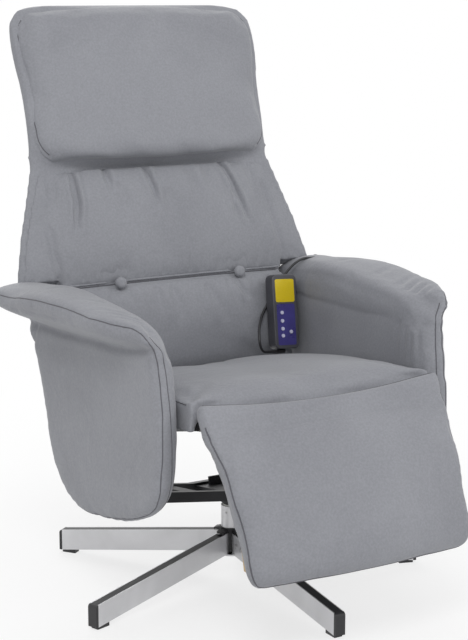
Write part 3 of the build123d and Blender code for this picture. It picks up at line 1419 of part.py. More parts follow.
def build_handset():
    plane = handset_plane()
    half = HANDSET_DEPTH / 2
    wall = HANDSET_WALL
    with BuildPart() as back:
        extrude(handset_layer(0, 0), amount=half - FIT / 2)
        fillet(back.faces().sort_by(Axis((0, 0, 0), plane.z_dir))[0].edges(), HANDSET_EDGE)
        extrude(handset_layer(wall, wall), amount=half, mode=Mode.SUBTRACT)
        with BuildSketch(plane.offset(wall)):
            with Locations((0, HANDSET_LENGTH / 4), (0, HANDSET_LENGTH * 3 / 4)):
                Circle(RELIEF_RADIUS)
        extrude(amount=BOARD_LEVEL - wall)
    save("handset_back_case", back)

    with BuildPart() as front:
        extrude(handset_layer(half + FIT / 2, 0), amount=half - FIT / 2)
        fillet(front.faces().sort_by(Axis((0, 0, 0), plane.z_dir))[-1].edges(), HANDSET_EDGE)
        extrude(handset_layer(half, wall), amount=half - wall, mode=Mode.SUBTRACT)
        with BuildSketch(plane.offset(HANDSET_DEPTH)):
            with Locations((0, WINDOW_MIDDLE)):
                RectangleRounded(PANEL_WIDTH + wall, WINDOW_HEIGHT, PANEL_CORNER)
            with Locations((0, KEYPAD_TOP - KEYPAD_HEIGHT / 2)):
                RectangleRounded(PANEL_WIDTH, KEYPAD_HEIGHT, PANEL_CORNER)
        extrude(amount=-PANEL_DEPTH, mode=Mode.SUBTRACT)
        with BuildSketch(plane.offset(HANDSET_DEPTH)):
            with Locations(*key_places()):
                Circle(KEY_RADIUS + FIT)
        extrude(amount=-2 * wall, mode=Mode.SUBTRACT)
    save("handset_front_case", front)

    with BuildPart() as window:
        with BuildSketch(plane.offset(HANDSET_DEPTH)):
            with Locations((0, WINDOW_MIDDLE)):
                RectangleRounded(PANEL_WIDTH + wall - FIT, WINDOW_HEIGHT - FIT, PANEL_CORNER)
        extrude(amount=-PANEL_DEPTH)
    save("handset_window", window)

    with BuildPart() as keypad:
        with BuildSketch(plane.offset(HANDSET_DEPTH)):
            with Locations((0, KEYPAD_TOP - KEYPAD_HEIGHT / 2)):
                RectangleRounded(PANEL_WIDTH - FIT, KEYPAD_HEIGHT - FIT, PANEL_CORNER)
            with Locations(*key_places()):
                Circle(KEY_RADIUS + FIT, mode=Mode.SUBTRACT)
        extrude(amount=-PANEL_DEPTH)
    save("handset_keypad", keypad)

    with BuildPart() as board:
        with BuildSketch(plane.offset(BOARD_LEVEL)):
            with Locations((0, HANDSET_LENGTH / 2)):
                Rectangle(HANDSET_WIDTH - 4 * wall, HANDSET_LENGTH - 2 * HANDSET_CORNER)
        extrude(amount=BOARD_THICKNESS)
    save("handset_board", board)

    under = HANDSET_DEPTH - wall
    for number, place in enumerate(key_places()):
        with BuildPart() as key:
            with BuildSketch(plane.offset(HANDSET_DEPTH + KEY_PROUD)):
                with Locations(place):
                    Circle(KEY_RADIUS)
            extrude(amount=-KEY_PROUD - wall - KEY_FLANGE_HEIGHT)
            with BuildSketch(plane.offset(under - RUN_FIT)):
                with Locations(place):
                    Circle(KEY_RADIUS + KEY_FLANGE)
            extrude(amount=-KEY_FLANGE_HEIGHT)
            with BuildSketch(plane.offset(BOARD_LEVEL + BOARD_THICKNESS + KEY_TRAVEL + RUN_FIT)):
                with Locations(place):
                    Circle(KEY_RADIUS / 2)
            extrude(amount=under - BOARD_LEVEL - BOARD_THICKNESS - KEY_TRAVEL - KEY_FLANGE_HEIGHT)
        save(f"handset_key_{number + 1}", key)

    with BuildPart() as relief:
        with BuildSketch(relief_plane()):
            Circle(RELIEF_RADIUS)
        extrude(amount=-RELIEF_LENGTH)
    save("handset_strain_relief", relief)


def relief_plane():
    """Free end of the strain relief that lies under the handset's bottom."""
    plane = handset_plane()
    place = plane.from_local_coords((-RELIEF_LENGTH, -RELIEF_RADIUS - FIT, HANDSET_DEPTH / 2))
    return Plane(origin=place, x_dir=plane.z_dir, z_dir=plane.x_dir * -1)


def build_cord():
    """One tube of straight runs and tangent arcs from handset to gland."""
    start = relief_plane()
    end = gland_plane()
    lead = CORD_DIAMETER * 4
    points = [start.origin, start.origin + start.z_dir * lead]
    points += [Vector(*place) for place in CORD_ROUTE]
    points += [end.origin + end.z_dir * lead, end.origin]
    radii = []
    for before, here, after in zip(points, points[1:], points[2:]):
        turn = (here - before).get_angle(after - here)
        shorter = min((here - before).length, (after - here).length)
        radii.append(CORD_BEND_SHARE * shorter / tan(radians(turn) / 2))
    with BuildPart() as cord:
        with BuildLine() as route:
            FilletPolyline(*points, radius=radii)
        with BuildSketch(Plane(origin=start.origin, z_dir=start.z_dir)):
            Circle(CORD_DIAMETER / 2)
        sweep(path=route.line)
    save("handset_cord", cord)
    length = sum(edge.length for edge in route.line.edges())
    section = pi * CORD_DIAMETER * CORD_DIAMETER / 4
    print("cord radii", [round(radius, 1) for radius in radii])
    print("cord length", round(length, 1), "volume share", round(cord.part.volume / section / length, 4))


BUILDERS = (
    build_legs,
    build_leg_trim,
    build_hub,
    build_column,
    build_swivel,
    build_underframe,
    build_arm_bolts,
    build_seat,
    build_dust_cover,
    build_side_plates,
    build_shell,
    build_back_frame,
    build_back_hinges,
    build_link,
    build_legrest,
    build_control_box,
    build_handset,
    build_cord,
)
for build in BUILDERS:
    build()
build_arm("left", -1)
build_arm("right", 1)
LUMBAR_END = LUMBAR_TOP - SOFT_GAP
UPPER_END = PILLOW_BOTTOM - SOFT_GAP
build_cushion("lumbar_cushion", BACK_BOTTOM, LUMBAR_END, LUMBAR_HALF_WIDTH, LUMBAR_THICKNESS, LUMBAR_SHARES)
build_cushion(
    "upper_back_cushion", LUMBAR_TOP + SOFT_GAP, UPPER_END,
    WING_HALF_WIDTH, UPPER_THICKNESS, UPPER_SHARES, BACK_MOTOR_HEIGHT,
)
build_cushion(
    "headrest_pillow", PILLOW_BOTTOM + SOFT_GAP, BACK_TOP,
    PILLOW_HALF_WIDTH, PILLOW_THICKNESS, PILLOW_SHARES, HEAD_MOTOR_HEIGHT,
)
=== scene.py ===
"""Massage recliner: the visual model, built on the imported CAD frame."""

import json
import math

import bpy
import numpy as np
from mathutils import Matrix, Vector
from mathutils.bvhtree import BVHTree


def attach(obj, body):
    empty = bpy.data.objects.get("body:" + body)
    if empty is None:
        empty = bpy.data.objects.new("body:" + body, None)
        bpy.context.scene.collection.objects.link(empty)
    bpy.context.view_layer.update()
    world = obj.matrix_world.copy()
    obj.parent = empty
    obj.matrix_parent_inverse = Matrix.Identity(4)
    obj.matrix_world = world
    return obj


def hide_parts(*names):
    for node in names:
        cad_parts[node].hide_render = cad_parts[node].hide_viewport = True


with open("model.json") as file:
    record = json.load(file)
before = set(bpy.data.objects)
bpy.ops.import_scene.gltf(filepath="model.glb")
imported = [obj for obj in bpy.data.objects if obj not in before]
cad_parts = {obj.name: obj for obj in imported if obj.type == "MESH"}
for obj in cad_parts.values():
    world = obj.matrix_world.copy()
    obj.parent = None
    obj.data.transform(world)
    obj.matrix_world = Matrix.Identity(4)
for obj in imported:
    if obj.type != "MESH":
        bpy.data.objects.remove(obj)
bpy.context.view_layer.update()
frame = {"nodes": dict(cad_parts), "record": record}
nodes = frame["nodes"]
scene = bpy.context.scene
scene.view_settings.view_transform = "Standard"

# linear colours of the upholstery: threads, shaded threads, sewn lines; the sewn lines' dark colour is partly
# painted shade of the seam grooves
FABRIC = (0.262, 0.268, 0.292)
FABRIC_DEEP = (0.205, 0.21, 0.232)
SEAM_THREAD_AND_SHADE = (0.115, 0.115, 0.13)

# ---------------------------------------------------------------- camera
CAMERA_LENS = 92.87
CAMERA_PLACE = (-1.537, -2.588, 1.094)
CAMERA_AIM = (0, -0.01, 0.50)

camera_data = bpy.data.cameras.new("camera")
camera_data.lens = CAMERA_LENS
camera_data.sensor_width = 36
camera = bpy.data.objects.new("camera", camera_data)
scene.collection.objects.link(camera)
camera.location = CAMERA_PLACE
aim = Vector(CAMERA_AIM) - camera.location
camera.rotation_euler = aim.to_track_quat("-Z", "Y").to_euler()
scene.camera = camera

# ---------------------------------------------------------------- handset cord
CORD_DIAMETER = 0.005
CORD_POINTS = [  # millimetres, from the handset over the right arm to the gland
    (180.774, 123.124, 395.783), (160.811, 123.388, 396.975), (143, 116, 399), (133, 112, 412),
    (132, 114, 427), (138, 125, 441), (150, 141, 455), (166, 156, 470), (182, 163, 486),
    (198, 168, 505), (215, 173, 525), (234, 173, 546), (255, 174, 562), (279, 180, 568),
    (303, 188, 565), (325, 203, 563), (342, 228, 561), (353, 256, 557), (358, 278, 543),
    (356, 289, 520), (352, 289, 486), (345, 274, 442), (334, 249, 396), (320, 230, 356),
    (300, 214, 326), (274, 203, 306), (248, 190, 296), (236, 163, 292), (229, 134, 296),
    (219, 108, 304), (202, 83.478, 314.763), (182, 83.478, 314.763),
]
cord_curve = bpy.data.curves.new("handset_cord_line", "CURVE")
cord_curve.dimensions = "3D"
cord_curve.bevel_depth = CORD_DIAMETER / 2
cord_curve.bevel_resolution = 5
cord_curve.resolution_u = 10
cord_curve.use_fill_caps = True
cord_spline = cord_curve.splines.new("NURBS")
cord_spline.points.add(len(CORD_POINTS) - 1)
for point, place in zip(cord_spline.points, CORD_POINTS):
    point.co = (*(c / 1000 for c in place), 1)
cord_spline.order_u = 3
cord_spline.use_endpoint_u = True
cord = bpy.data.objects.new("handset_lead", cord_curve)
scene.collection.objects.link(cord)


# ---------------------------------------------------------------- materials
def start_material(name, rough, metallic=0.0, sheen=0.0, coat=0.0, specular=0.5):
    """A new node material with its fixed numbers on the shader: material, tree, shader, object coordinates."""
    material = bpy.data.materials.new(name)
    material.use_nodes = True
    tree = material.node_tree
    shader = tree.nodes["Principled BSDF"]
    shader.inputs["Metallic"].default_value = metallic
    shader.inputs["Roughness"].default_value = rough
    shader.inputs["Sheen Weight"].default_value = sheen
    shader.inputs["Sheen Roughness"].default_value = 0.45
    shader.inputs["Coat Weight"].default_value = coat
    shader.inputs["Coat Roughness"].default_value = 0.12
    shader.inputs["Specular IOR Level"].default_value = specular
    place = tree.nodes.new("ShaderNodeTexCoord").outputs["Object"]
    return material, tree, shader, place


def noise_node(tree, place, scale, detail=4.0, distortion=0.0):
    node = tree.nodes.new("ShaderNodeTexNoise")
    node.inputs["Scale"].default_value = scale
    node.inputs["Detail"].default_value = detail
    node.inputs["Distortion"].default_value = distortion
    tree.links.new(place, node.inputs["Vector"])
    return node.outputs["Fac"]


def wave_node(tree, place, direction, scale, distortion=0.0):
    node = tree.nodes.new("ShaderNodeTexWave")
    node.bands_direction = direction
    node.inputs["Scale"].default_value = scale
    node.inputs["Distortion"].default_value = distortion
    tree.links.new(place, node.inputs["Vector"])
    return node.outputs["Fac"]


def ramp_node(tree, fac, stops):
    node = tree.nodes.new("ShaderNodeValToRGB")
    ramp = node.color_ramp
    while len(ramp.elements) < len(stops):
        ramp.elements.new(0.5)
    for element, (position, colour) in zip(ramp.elements, stops):
        element.position = position
        element.color = (*colour, 1)
    tree.links.new(fac, node.inputs["Fac"])
    return node.outputs["Color"]


def mix_node(tree, fac, first, second, blend="MIX"):
    node = tree.nodes.new("ShaderNodeMix")
    node.data_type = "RGBA"
    node.blend_type = blend
    if isinstance(fac, float):
        node.inputs["Factor"].default_value = fac
    else:
        tree.links.new(fac, node.inputs["Factor"])
    for socket, value in ((node.inputs[6], first), (node.inputs[7], second)):
        if isinstance(value, tuple):
            socket.default_value = (*value, 1)
        else:
            tree.links.new(value, socket)
    return node.outputs[2]


def bump_chain(tree, shader, heights):
    """Bumps one after another, each (height output, strength, distance in metres)."""
    last = None
    for height, strength, distance in heights:
        node = tree.nodes.new("ShaderNodeBump")
        node.inputs["Strength"].default_value = strength
        node.inputs["Distance"].default_value = distance
        tree.links.new(height, node.inputs["Height"])
        if last is not None:
            tree.links.new(last, node.inputs["Normal"])
        last = node.outputs["Normal"]
    tree.links.new(last, shader.inputs["Normal"])


def rough_range(tree, shader, fac, low, high):
    node = tree.nodes.new("ShaderNodeMapRange")
    node.inputs["To Min"].default_value = low
    node.inputs["To Max"].default_value = high
    tree.links.new(fac, node.inputs["Value"])
    tree.links.new(node.outputs["Result"], shader.inputs["Roughness"])


def fabric_material(name, colour, deep, weave=1500.0):
    """Fine woven upholstery: thread weave, soft creasing, uneven dye and a light nap."""
    material, tree, shader, place = start_material(name, 0.68, sheen=0.22, specular=0.32)
    broad = noise_node(tree, place, 5.5, 3.0, 0.6)
    fine = noise_node(tree, place, 260.0, 5.0)
    mottle = ramp_node(tree, broad, [(0.32, deep), (0.62, colour)])
    light = tuple(min(1.0, c * 1.16) for c in colour)
    flecks = ramp_node(tree, fine, [(0.35, tuple(c * 0.86 for c in colour)), (0.68, light)])
    blend = mix_node(tree, 0.42, mottle, flecks)
    warp = wave_node(tree, place, "DIAGONAL", weave * 0.22, 0.7)
    weft = wave_node(tree, place, "Z", weave * 0.2, 0.7)
    cloth = mix_node(tree, 0.5, warp, weft)
    shade = ramp_node(tree, cloth, [(0.1, (0.86, 0.86, 0.87)), (0.8, (1.0, 1.0, 1.0))])
    tree.links.new(mix_node(tree, 0.55, blend, shade, "MULTIPLY"), shader.inputs["Base Color"])
    creases = noise_node(tree, place, 13.0, 3.0, 1.6)
    bump_chain(tree, shader, [(creases, 0.32, 0.006), (fine, 0.18, 0.0006), (cloth, 0.2, 0.0003)])
    rough_range(tree, shader, broad, 0.6, 0.76)
    return material


def paint_material(name, colour, rough, metallic, grain=90.0, wear=1.12):
    """Sprayed or plated metal: faint orange peel, uneven polish and slightly brighter spots."""
    material, tree, shader, place = start_material(name, rough, metallic)
    broad = noise_node(tree, place, 9.0, 4.0, 0.4)
    peel = noise_node(tree, place, grain * 6, 3.0)
    bright = tuple(min(1.0, c * wear) for c in colour)
    tree.links.new(ramp_node(tree, broad, [(0.3, tuple(c * 0.9 for c in colour)), (0.7, bright)]),
                   shader.inputs["Base Color"])
    bump_chain(tree, shader, [(peel, 0.12, 0.0003)])
    rough_range(tree, shader, broad, max(0.02, rough - 0.07), min(1.0, rough + 0.08))
    return material


def plastic_material(name, colour, rough, grain=900.0, coat=0.0, lift=1.35, bump=0.2):
    """Moulded plastic with fine spark grain and handling marks."""
    material, tree, shader, place = start_material(name, rough, coat=coat)
    broad = noise_node(tree, place, 22.0, 4.0, 0.5)
    grain_out = noise_node(tree, place, grain, 2.0)
    bright = tuple(min(1.0, c * lift) for c in colour)
    tree.links.new(ramp_node(tree, broad, [(0.35, colour), (0.75, bright)]), shader.inputs["Base Color"])
    bump_chain(tree, shader, [(grain_out, bump, 0.0003)])
    rough_range(tree, shader, broad, max(0.03, rough - 0.06), min(1.0, rough + 0.1))
    return material


def wood_material(name):
    """Plain plywood: pale veneer with long grain."""
    material, tree, shader, place = start_material(name, 0.7)
    stretch = tree.nodes.new("ShaderNodeMapping")
    stretch.inputs["Scale"].default_value = (9.0, 60.0, 60.0)
    tree.links.new(place, stretch.inputs["Vector"])
    grain = noise_node(tree, stretch.outputs["Vector"], 1.6, 8.0, 1.2)
    tree.links.new(ramp_node(tree, grain, [(0.3, (0.36, 0.24, 0.12)), (0.7, (0.6, 0.45, 0.27))]),
                   shader.inputs["Base Color"])
    bump_chain(tree, shader, [(grain, 0.2, 0.0006)])
    return material


MATERIALS = {
    "grey_upholstery": fabric_material("grey_upholstery_look", FABRIC, FABRIC_DEEP),
    # the seam thread is real thread whose dark colour is painted shade of the seam grooves and valleys
    "seam_thread": fabric_material("seam_thread_and_shade_look", SEAM_THREAD_AND_SHADE, (0.08, 0.08, 0.09), 3000.0),
    "dust_cloth": fabric_material("dust_cloth_look", (0.03, 0.03, 0.033), (0.02, 0.02, 0.022), 2200.0),
    "plywood": wood_material("plywood_look"),
    "silver_paint": paint_material("silver_paint_look", (0.62, 0.62, 0.635), 0.34, 0.7),
    "black_gloss_strip": plastic_material("black_strip_look", (0.014, 0.014, 0.016), 0.46, 300.0, bump=0.08),
    "black_plastic": plastic_material("black_plastic_look", (0.018, 0.018, 0.02), 0.42),
    "black_steel": paint_material("black_steel_look", (0.02, 0.02, 0.022), 0.42, 0.2, 140.0, wear=1.5),
    "zinc_steel": paint_material("zinc_steel_look", (0.5, 0.5, 0.5), 0.3, 1.0, 60.0),
    "bearing_nylon": plastic_material("nylon_look", (0.6, 0.6, 0.57), 0.45, lift=1.1),
    "motor_case": plastic_material("motor_case_look", (0.72, 0.72, 0.7), 0.4, lift=1.1),
    "handset_black": plastic_material("handset_black_look", (0.05, 0.05, 0.058), 0.4, 1400.0),
    "handset_yellow": plastic_material(
        "handset_yellow_look", (0.6, 0.45, 0.006), 0.2, 500.0, 0.4, 1.15, 0.05),
    "handset_indigo": plastic_material(
        "handset_indigo_look", (0.038, 0.032, 0.16), 0.26, 500.0, 0.3, 1.4, 0.06),
    "key_lilac": plastic_material("key_lilac_look", (0.5, 0.5, 0.64), 0.34, 900.0, 0.2, 1.2),
    "circuit_board": plastic_material("circuit_board_look", (0.02, 0.17, 0.05), 0.35, 500.0),
    "cord_black": plastic_material("cord_black_look", (0.014, 0.014, 0.016), 0.48, 700.0),
}
for part in frame["record"]["subparts"]:
    carried = nodes[part["node"]].data
    carried.materials.clear()
    carried.materials.append(MATERIALS[part["material_slot"]])

cord_curve.materials.append(MATERIALS["cord_black"])
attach(cord, "seat")
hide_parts("handset_cord")

# ---------------------------------------------------------------- soft pieces
RIGHT = np.array((1.0, 0.0, 0.0))
REARWARD = np.array((0.0, 1.0, 0.0))
UPWARD = np.array((0.0, 0.0, 1.0))
BACK_PIVOT = np.array((0.0, 0.215, 0.335))
BACK_UP = np.array((0.0, 0.3007, 0.9537))
BACK_FRONT = np.array((0.0, -0.9537, 0.3007))
SEAT_ORIGIN = np.array((0.0, -0.297, 0.382))
SEAT_REARWARD = np.array((0.0, 0.9914, -0.1305))
SEAT_UP = np.array((0.0, 0.1305, 0.9914))
BUTTON_ROW = 199  # mm up the backrest, between the lumbar and upper cushions
PILLOW_SEAM = 431  # mm up the backrest, at the pillow's lower edge
CLOTH_FRAMES = 20
SMOOTH_SHARE = 0.5
SEAM_STEP = 0.004


def read_points(mesh):
    """The mesh's points, one row each, in metres."""
    flat = np.empty(len(mesh.vertices) * 3, np.float64)
    mesh.vertices.foreach_get("co", flat)
    return flat.reshape(-1, 3)


def read_normals(mesh):
    """The mesh's point normals, one row each."""
    flat = np.empty(len(mesh.vertices) * 3, np.float64)
    mesh.vertex_normals.foreach_get("vector", flat)
    return flat.reshape(-1, 3)


def write_points(mesh, points):
    """Put points back into the mesh."""
    mesh.vertices.foreach_set("co", points.astype(np.float32).ravel())
    mesh.update()


def bake(piece):
    """Put the modifiers' result into the mesh."""
    graph = bpy.context.evaluated_depsgraph_get()
    made = bpy.data.meshes.new_from_object(piece.evaluated_get(graph))
    piece.modifiers.clear()
    piece.data = made


def shade_smooth(piece):
    piece.data.polygons.foreach_set("use_smooth", [True] * len(piece.data.polygons))


def add_smooth(piece, rounds):
    """A smoothing modifier, not baked yet."""
    smooth = piece.modifiers.new("smooth", "SMOOTH")
    smooth.factor = SMOOTH_SHARE
    smooth.iterations = rounds


def move_out(piece, amount):
    """Move points along their normals by amount in mm, one value for each point."""
    write_points(piece.data, read_points(piece.data) + read_normals(piece.data) * amount[:, None] / 1000)


SIDES = ((-1, "left"), (1, "right"))
SLAB_FACES = [(0, 1, 3, 2), (4, 6, 7, 5), (0, 4, 5, 1), (2, 3, 7, 6), (0, 2, 6, 4), (1, 5, 7, 3)]


def soft_copy(name, sources, voxel, rounds, slabs=()):
    """One closed skin over copies of CAD meshes and slabs, with its corners rounded off."""
    points, faces, start = [], [], 0
    for source in sources:
        mesh = nodes[source].data
        points.append(read_points(mesh))
        faces += [tuple(start + i for i in polygon.vertices) for polygon in mesh.polygons]
        start += len(mesh.vertices)
    for slab in slabs:
        points.append(np.array(slab))
        faces += [tuple(start + i for i in face) for face in SLAB_FACES]
        start += 8
    mesh = bpy.data.meshes.new(name)
    mesh.from_pydata(np.concatenate(points).tolist(), [], faces)
    piece = bpy.data.objects.new(name, mesh)
    scene.collection.objects.link(piece)
    remesh = piece.modifiers.new("remesh", "REMESH")
    remesh.mode = "VOXEL"
    remesh.voxel_size = voxel
    add_smooth(piece, rounds)
    bake(piece)
    piece.data.materials.clear()
    piece.data.materials.append(MATERIALS["grey_upholstery"])
    shade_smooth(piece)
    return piece


def inflate(piece, cap, pressure, still):
    """Swell the pad as cloth under pressure, each point at most cap metres from its start, some held still."""
    start = read_points(piece.data)
    cloth = piece.modifiers.new("cloth", "CLOTH")
    settings = cloth.settings
    settings.quality = 5
    settings.use_pressure = True
    settings.uniform_pressure_force = pressure
    settings.effector_weights.gravity = 0
    settings.tension_stiffness = 12
    settings.compression_stiffness = 12
    settings.bending_stiffness = 0.4
    group = piece.vertex_groups.new(name="still")
    group.add([int(i) for i in np.nonzero(still(start))[0]], 1.0, "REPLACE")
    settings.vertex_group_mass = "still"
    cloth.point_cache.frame_start = 1
    cloth.point_cache.frame_end = CLOTH_FRAMES
    for number in range(1, CLOTH_FRAMES + 1):
        scene.frame_set(number)
    bake(piece)
    scene.frame_set(1)
    moved = read_points(piece.data) - start
    length = np.linalg.norm(moved, axis=1)
    scale = np.minimum(1.0, cap / np.maximum(length, 1e-9))
    write_points(piece.data, start + moved * scale[:, None])


def relax(piece, rounds):
    """Smooth the piece once more."""
    add_smooth(piece, rounds)
    bake(piece)


def refine(piece):
    """Subdivide once, so that creases and seams have points to press in."""
    subdivision = piece.modifiers.new("subdivision", "SUBSURF")
    subdivision.levels = subdivision.render_levels = 1
    bake(piece)
    shade_smooth(piece)


def line_distance(flat, line):
    """Distance of 2-D points to a polyline, and how far along it the nearest place is, 0 to 1."""
    line = np.array(line, float)
    lengths = np.linalg.norm(line[1:] - line[:-1], axis=1)
    best = np.full(len(flat), 1e9)
    along = np.zeros(len(flat))
    done = 0.0
    for a, b, span in zip(line[:-1], line[1:], lengths):
        step = b - a
        t = np.clip(((flat - a) @ step) / max(span * span, 1e-12), 0, 1)
        away = np.linalg.norm(a + t[:, None] * step - flat, axis=1)
        nearer = away < best
        best = np.where(nearer, away, best)
        along = np.where(nearer, (done + t * span) / lengths.sum(), along)
        done += span
    return best, along


def fold(piece, origin, across, up, out, lines, facing=0.15):
    """Press creases into the side that faces out. A line is (points in mm, depth mm, width mm, fade, lip)."""
    points = read_points(piece.data)
    normals = read_normals(piece.data)
    flat = np.stack([(points - origin) @ across, (points - origin) @ up], axis=1) * 1000
    front = np.clip((normals @ out - facing) / 0.3, 0, 1)
    total = np.zeros(len(points))
    for line, depth, width, fade, lip in lines:
        away, along = line_distance(flat, line)
        ends = 1.0
        if fade:
            ends = np.clip(along / 0.12, 0, 1) * np.clip((1 - along) / fade, 0, 1) ** 0.8
        total -= depth * np.exp(-((away / width) ** 2)) * ends
        total += depth * lip * np.exp(-(((away - 2.1 * width) / (1.2 * width)) ** 2)) * ends
    write_points(piece.data, points + np.outer(total * front / 1000, out))


def seam(name, piece, body, path, radius=1.1, groove=1.6, width=4.0, material="seam_thread", out=None):
    """A sewn line in a groove on the piece's surface, at the places nearest to a path or met along out. By
    default the line is dark: real thread with painted shade of the groove.
    """
    mesh = piece.data
    tree = BVHTree.FromPolygons(
        [v.co for v in mesh.vertices], [tuple(p.vertices) for p in mesh.polygons], all_triangles=False)
    fine = []
    for a, b in zip(path[:-1], path[1:]):
        a, b = Vector(a), Vector(b)
        steps = max(1, int((b - a).length / SEAM_STEP))
        fine += [a.lerp(b, i / steps) for i in range(steps)]
    fine.append(Vector(path[-1]))
    places, sides = [], []
    for point in fine:
        if out is not None:
            place, side, _, _ = tree.ray_cast(point + Vector(out) * 0.3, -Vector(out))
            if place is None:
                continue
        else:
            place, side, _, _ = tree.find_nearest(point)
        places.append(np.array(place))
        sides.append(np.array(side))
    places, sides = np.array(places), np.array(sides)
    for _ in range(3):
        places[1:-1] = (places[:-2] + 2 * places[1:-1] + places[2:]) / 4
    if groove:
        points = read_points(mesh)
        normals = read_normals(mesh)
        low = places.min(0) - 3 * width / 1000
        high = places.max(0) + 3 * width / 1000
        near = np.nonzero(((points > low) & (points < high)).all(1))[0]
        nearest = np.full(len(near), 1e9)
        for place in places:
            nearest = np.minimum(nearest, np.linalg.norm(points[near] - place, axis=1))
        drop = groove / 1000 * np.exp(-((nearest * 1000 / width) ** 2))
        points[near] -= normals[near] * drop[:, None]
        write_points(mesh, points)
        places = places - sides * groove / 1000
    data = bpy.data.curves.new(name + "_line", "CURVE")
    data.dimensions = "3D"
    data.bevel_depth = radius / 1000
    data.bevel_resolution = 2
    data.use_fill_caps = True
    spline = data.splines.new("POLY")
    spline.points.add(len(places) - 1)
    for point, place in zip(spline.points, places):
        point.co = (*place, 1)
    data.materials.append(MATERIALS[material])
    thread = bpy.data.objects.new(name, data)
    scene.collection.objects.link(thread)
    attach(thread, body)


def on_back(x, up, level):
    """A place on the backrest from millimetres across, up and forward."""
    return BACK_PIVOT + (x * RIGHT + up * BACK_UP + level * BACK_FRONT) / 1000


def on_seat(x, rearward, up):
    """A place on the seat from millimetres across, rearward and up."""
    return SEAT_ORIGIN + (x * RIGHT + rearward * SEAT_REARWARD + up * SEAT_UP) / 1000


def back_places(points):
    """Millimetres across, up and forward on the backrest."""
    away = (points - BACK_PIVOT) * 1000
    return away @ RIGHT, away @ BACK_UP, away @ BACK_FRONT


def ease(value, start, end):
    """0 before start, 1 after end, smooth between."""
    t = np.clip((value - start) / (end - start), 0, 1)
    return t * t * (3 - 2 * t)


def shift(piece, amount, direction):
    """Move points along a direction by amount in mm, one value for each point."""
    write_points(piece.data, read_points(piece.data) + np.outer(amount / 1000, direction))


def pull_in(piece, depth):
    """Start the swelling from a slightly smaller pad."""
    write_points(piece.data, read_points(piece.data) - read_normals(piece.data) * depth)


def puckers(low, high, step, top, length, depth, seed):
    """Short gathers along a seam, uneven but the same each run."""
    rng = np.random.default_rng(seed)
    lines = []
    for x in np.arange(low, high, step):
        place = x + rng.uniform(-8, 8)
        run = length * rng.uniform(0.6, 1.3)
        lean = rng.uniform(-7, 7)
        ends = [(place, top), (place + lean, top + run)]
        lines.append((ends, depth * rng.uniform(0.5, 1.2), 4.6, 0.7, 0.25))
    return lines


def bend_edge(piece):
    """Curve the edge where seat and legrest meet: lower in the middle, higher at the corners."""
    points = read_points(piece.data) * 1000
    near = np.exp(-(((points[:, 1] + 296) / 42) ** 2 + ((points[:, 2] - 428) / 38) ** 2))
    share = np.clip(abs(points[:, 0]) / 245, 0, 1)
    rise = -9 + 17 * share ** 2.2
    shift(piece, near * rise, UPWARD)
    shift(piece, near * np.maximum(0, 5 * (1 - 1.6 * share ** 2)), -REARWARD)


def drop_wings(piece):
    """Let the wings hang down behind the arms, and draw their rear corners in."""
    across, up, level = back_places(read_points(piece.data))
    shift(piece, -15 * (1 - ease(up, 225, 310)) * ease(abs(across), 244, 262), BACK_UP)
    rear = (1 - ease(level, 10, 46)) * (1 - ease(up, 330, 430)) * ease(abs(across), 200, 285)
    shift(piece, -9 * np.sign(across) * rear, RIGHT)


# headrest pillow
pillow = soft_copy("pillow_cover", ["headrest_pillow"], 0.007, 10)
pull_in(pillow, 0.003)
inflate(pillow, 0.012, 3.5, still=lambda p: back_places(p)[2] < 50.5)
relax(pillow, 12)
refine(pillow)
across, up, level = back_places(read_points(pillow.data))
shift(pillow, (11 - 14 * (across / 250) ** 2) * ease(up, 660, 745), BACK_UP)
shift(pillow, 9 * np.exp(-(((up - 462) / 26) ** 2)) * ease(level, 50, 110), BACK_FRONT)
drop = 24 * np.maximum(0, 1 - (abs(across) / 245) ** 2.5) * (1 - ease(up, 440, 530)) * ease(level, 60, 95)
shift(pillow, -drop, BACK_UP)
bulge = 6 * np.sign(across) * ease(abs(across), 180, 240)
shift(pillow, bulge * np.exp(-(((up - 480) / 45) ** 2)), RIGHT)
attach(pillow, "backrest")
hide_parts("headrest_pillow")
PILLOW_EDGE = [(236, 452, 74), (256, 478, 74), (268, 520, 74), (276, 581, 74), (282, 647, 74), (284, 685, 74),
               (276, 716, 74), (256, 738, 72)]
for side, word in SIDES:
    seam(f"pillow_{word}_gusset_seam", pillow, "backrest",
         [on_back(side * x, up, level) for x, up, level in PILLOW_EDGE], radius=1.2, groove=1.6, width=4.5)
fold(pillow, BACK_PIVOT, RIGHT, BACK_UP, BACK_FRONT, [
    ([(-228, 735), (-250, 700), (-258, 650)], 2.5, 9, 0.5, 0.3),
    ([(226, 735), (246, 700)], 2.2, 9, 0.5, 0.3),
    ([(-90, 440), (-70, 470)], 1.5, 12, 0.6, 0.2),
    ([(120, 438), (105, 476)], 1.5, 12, 0.6, 0.2),
])

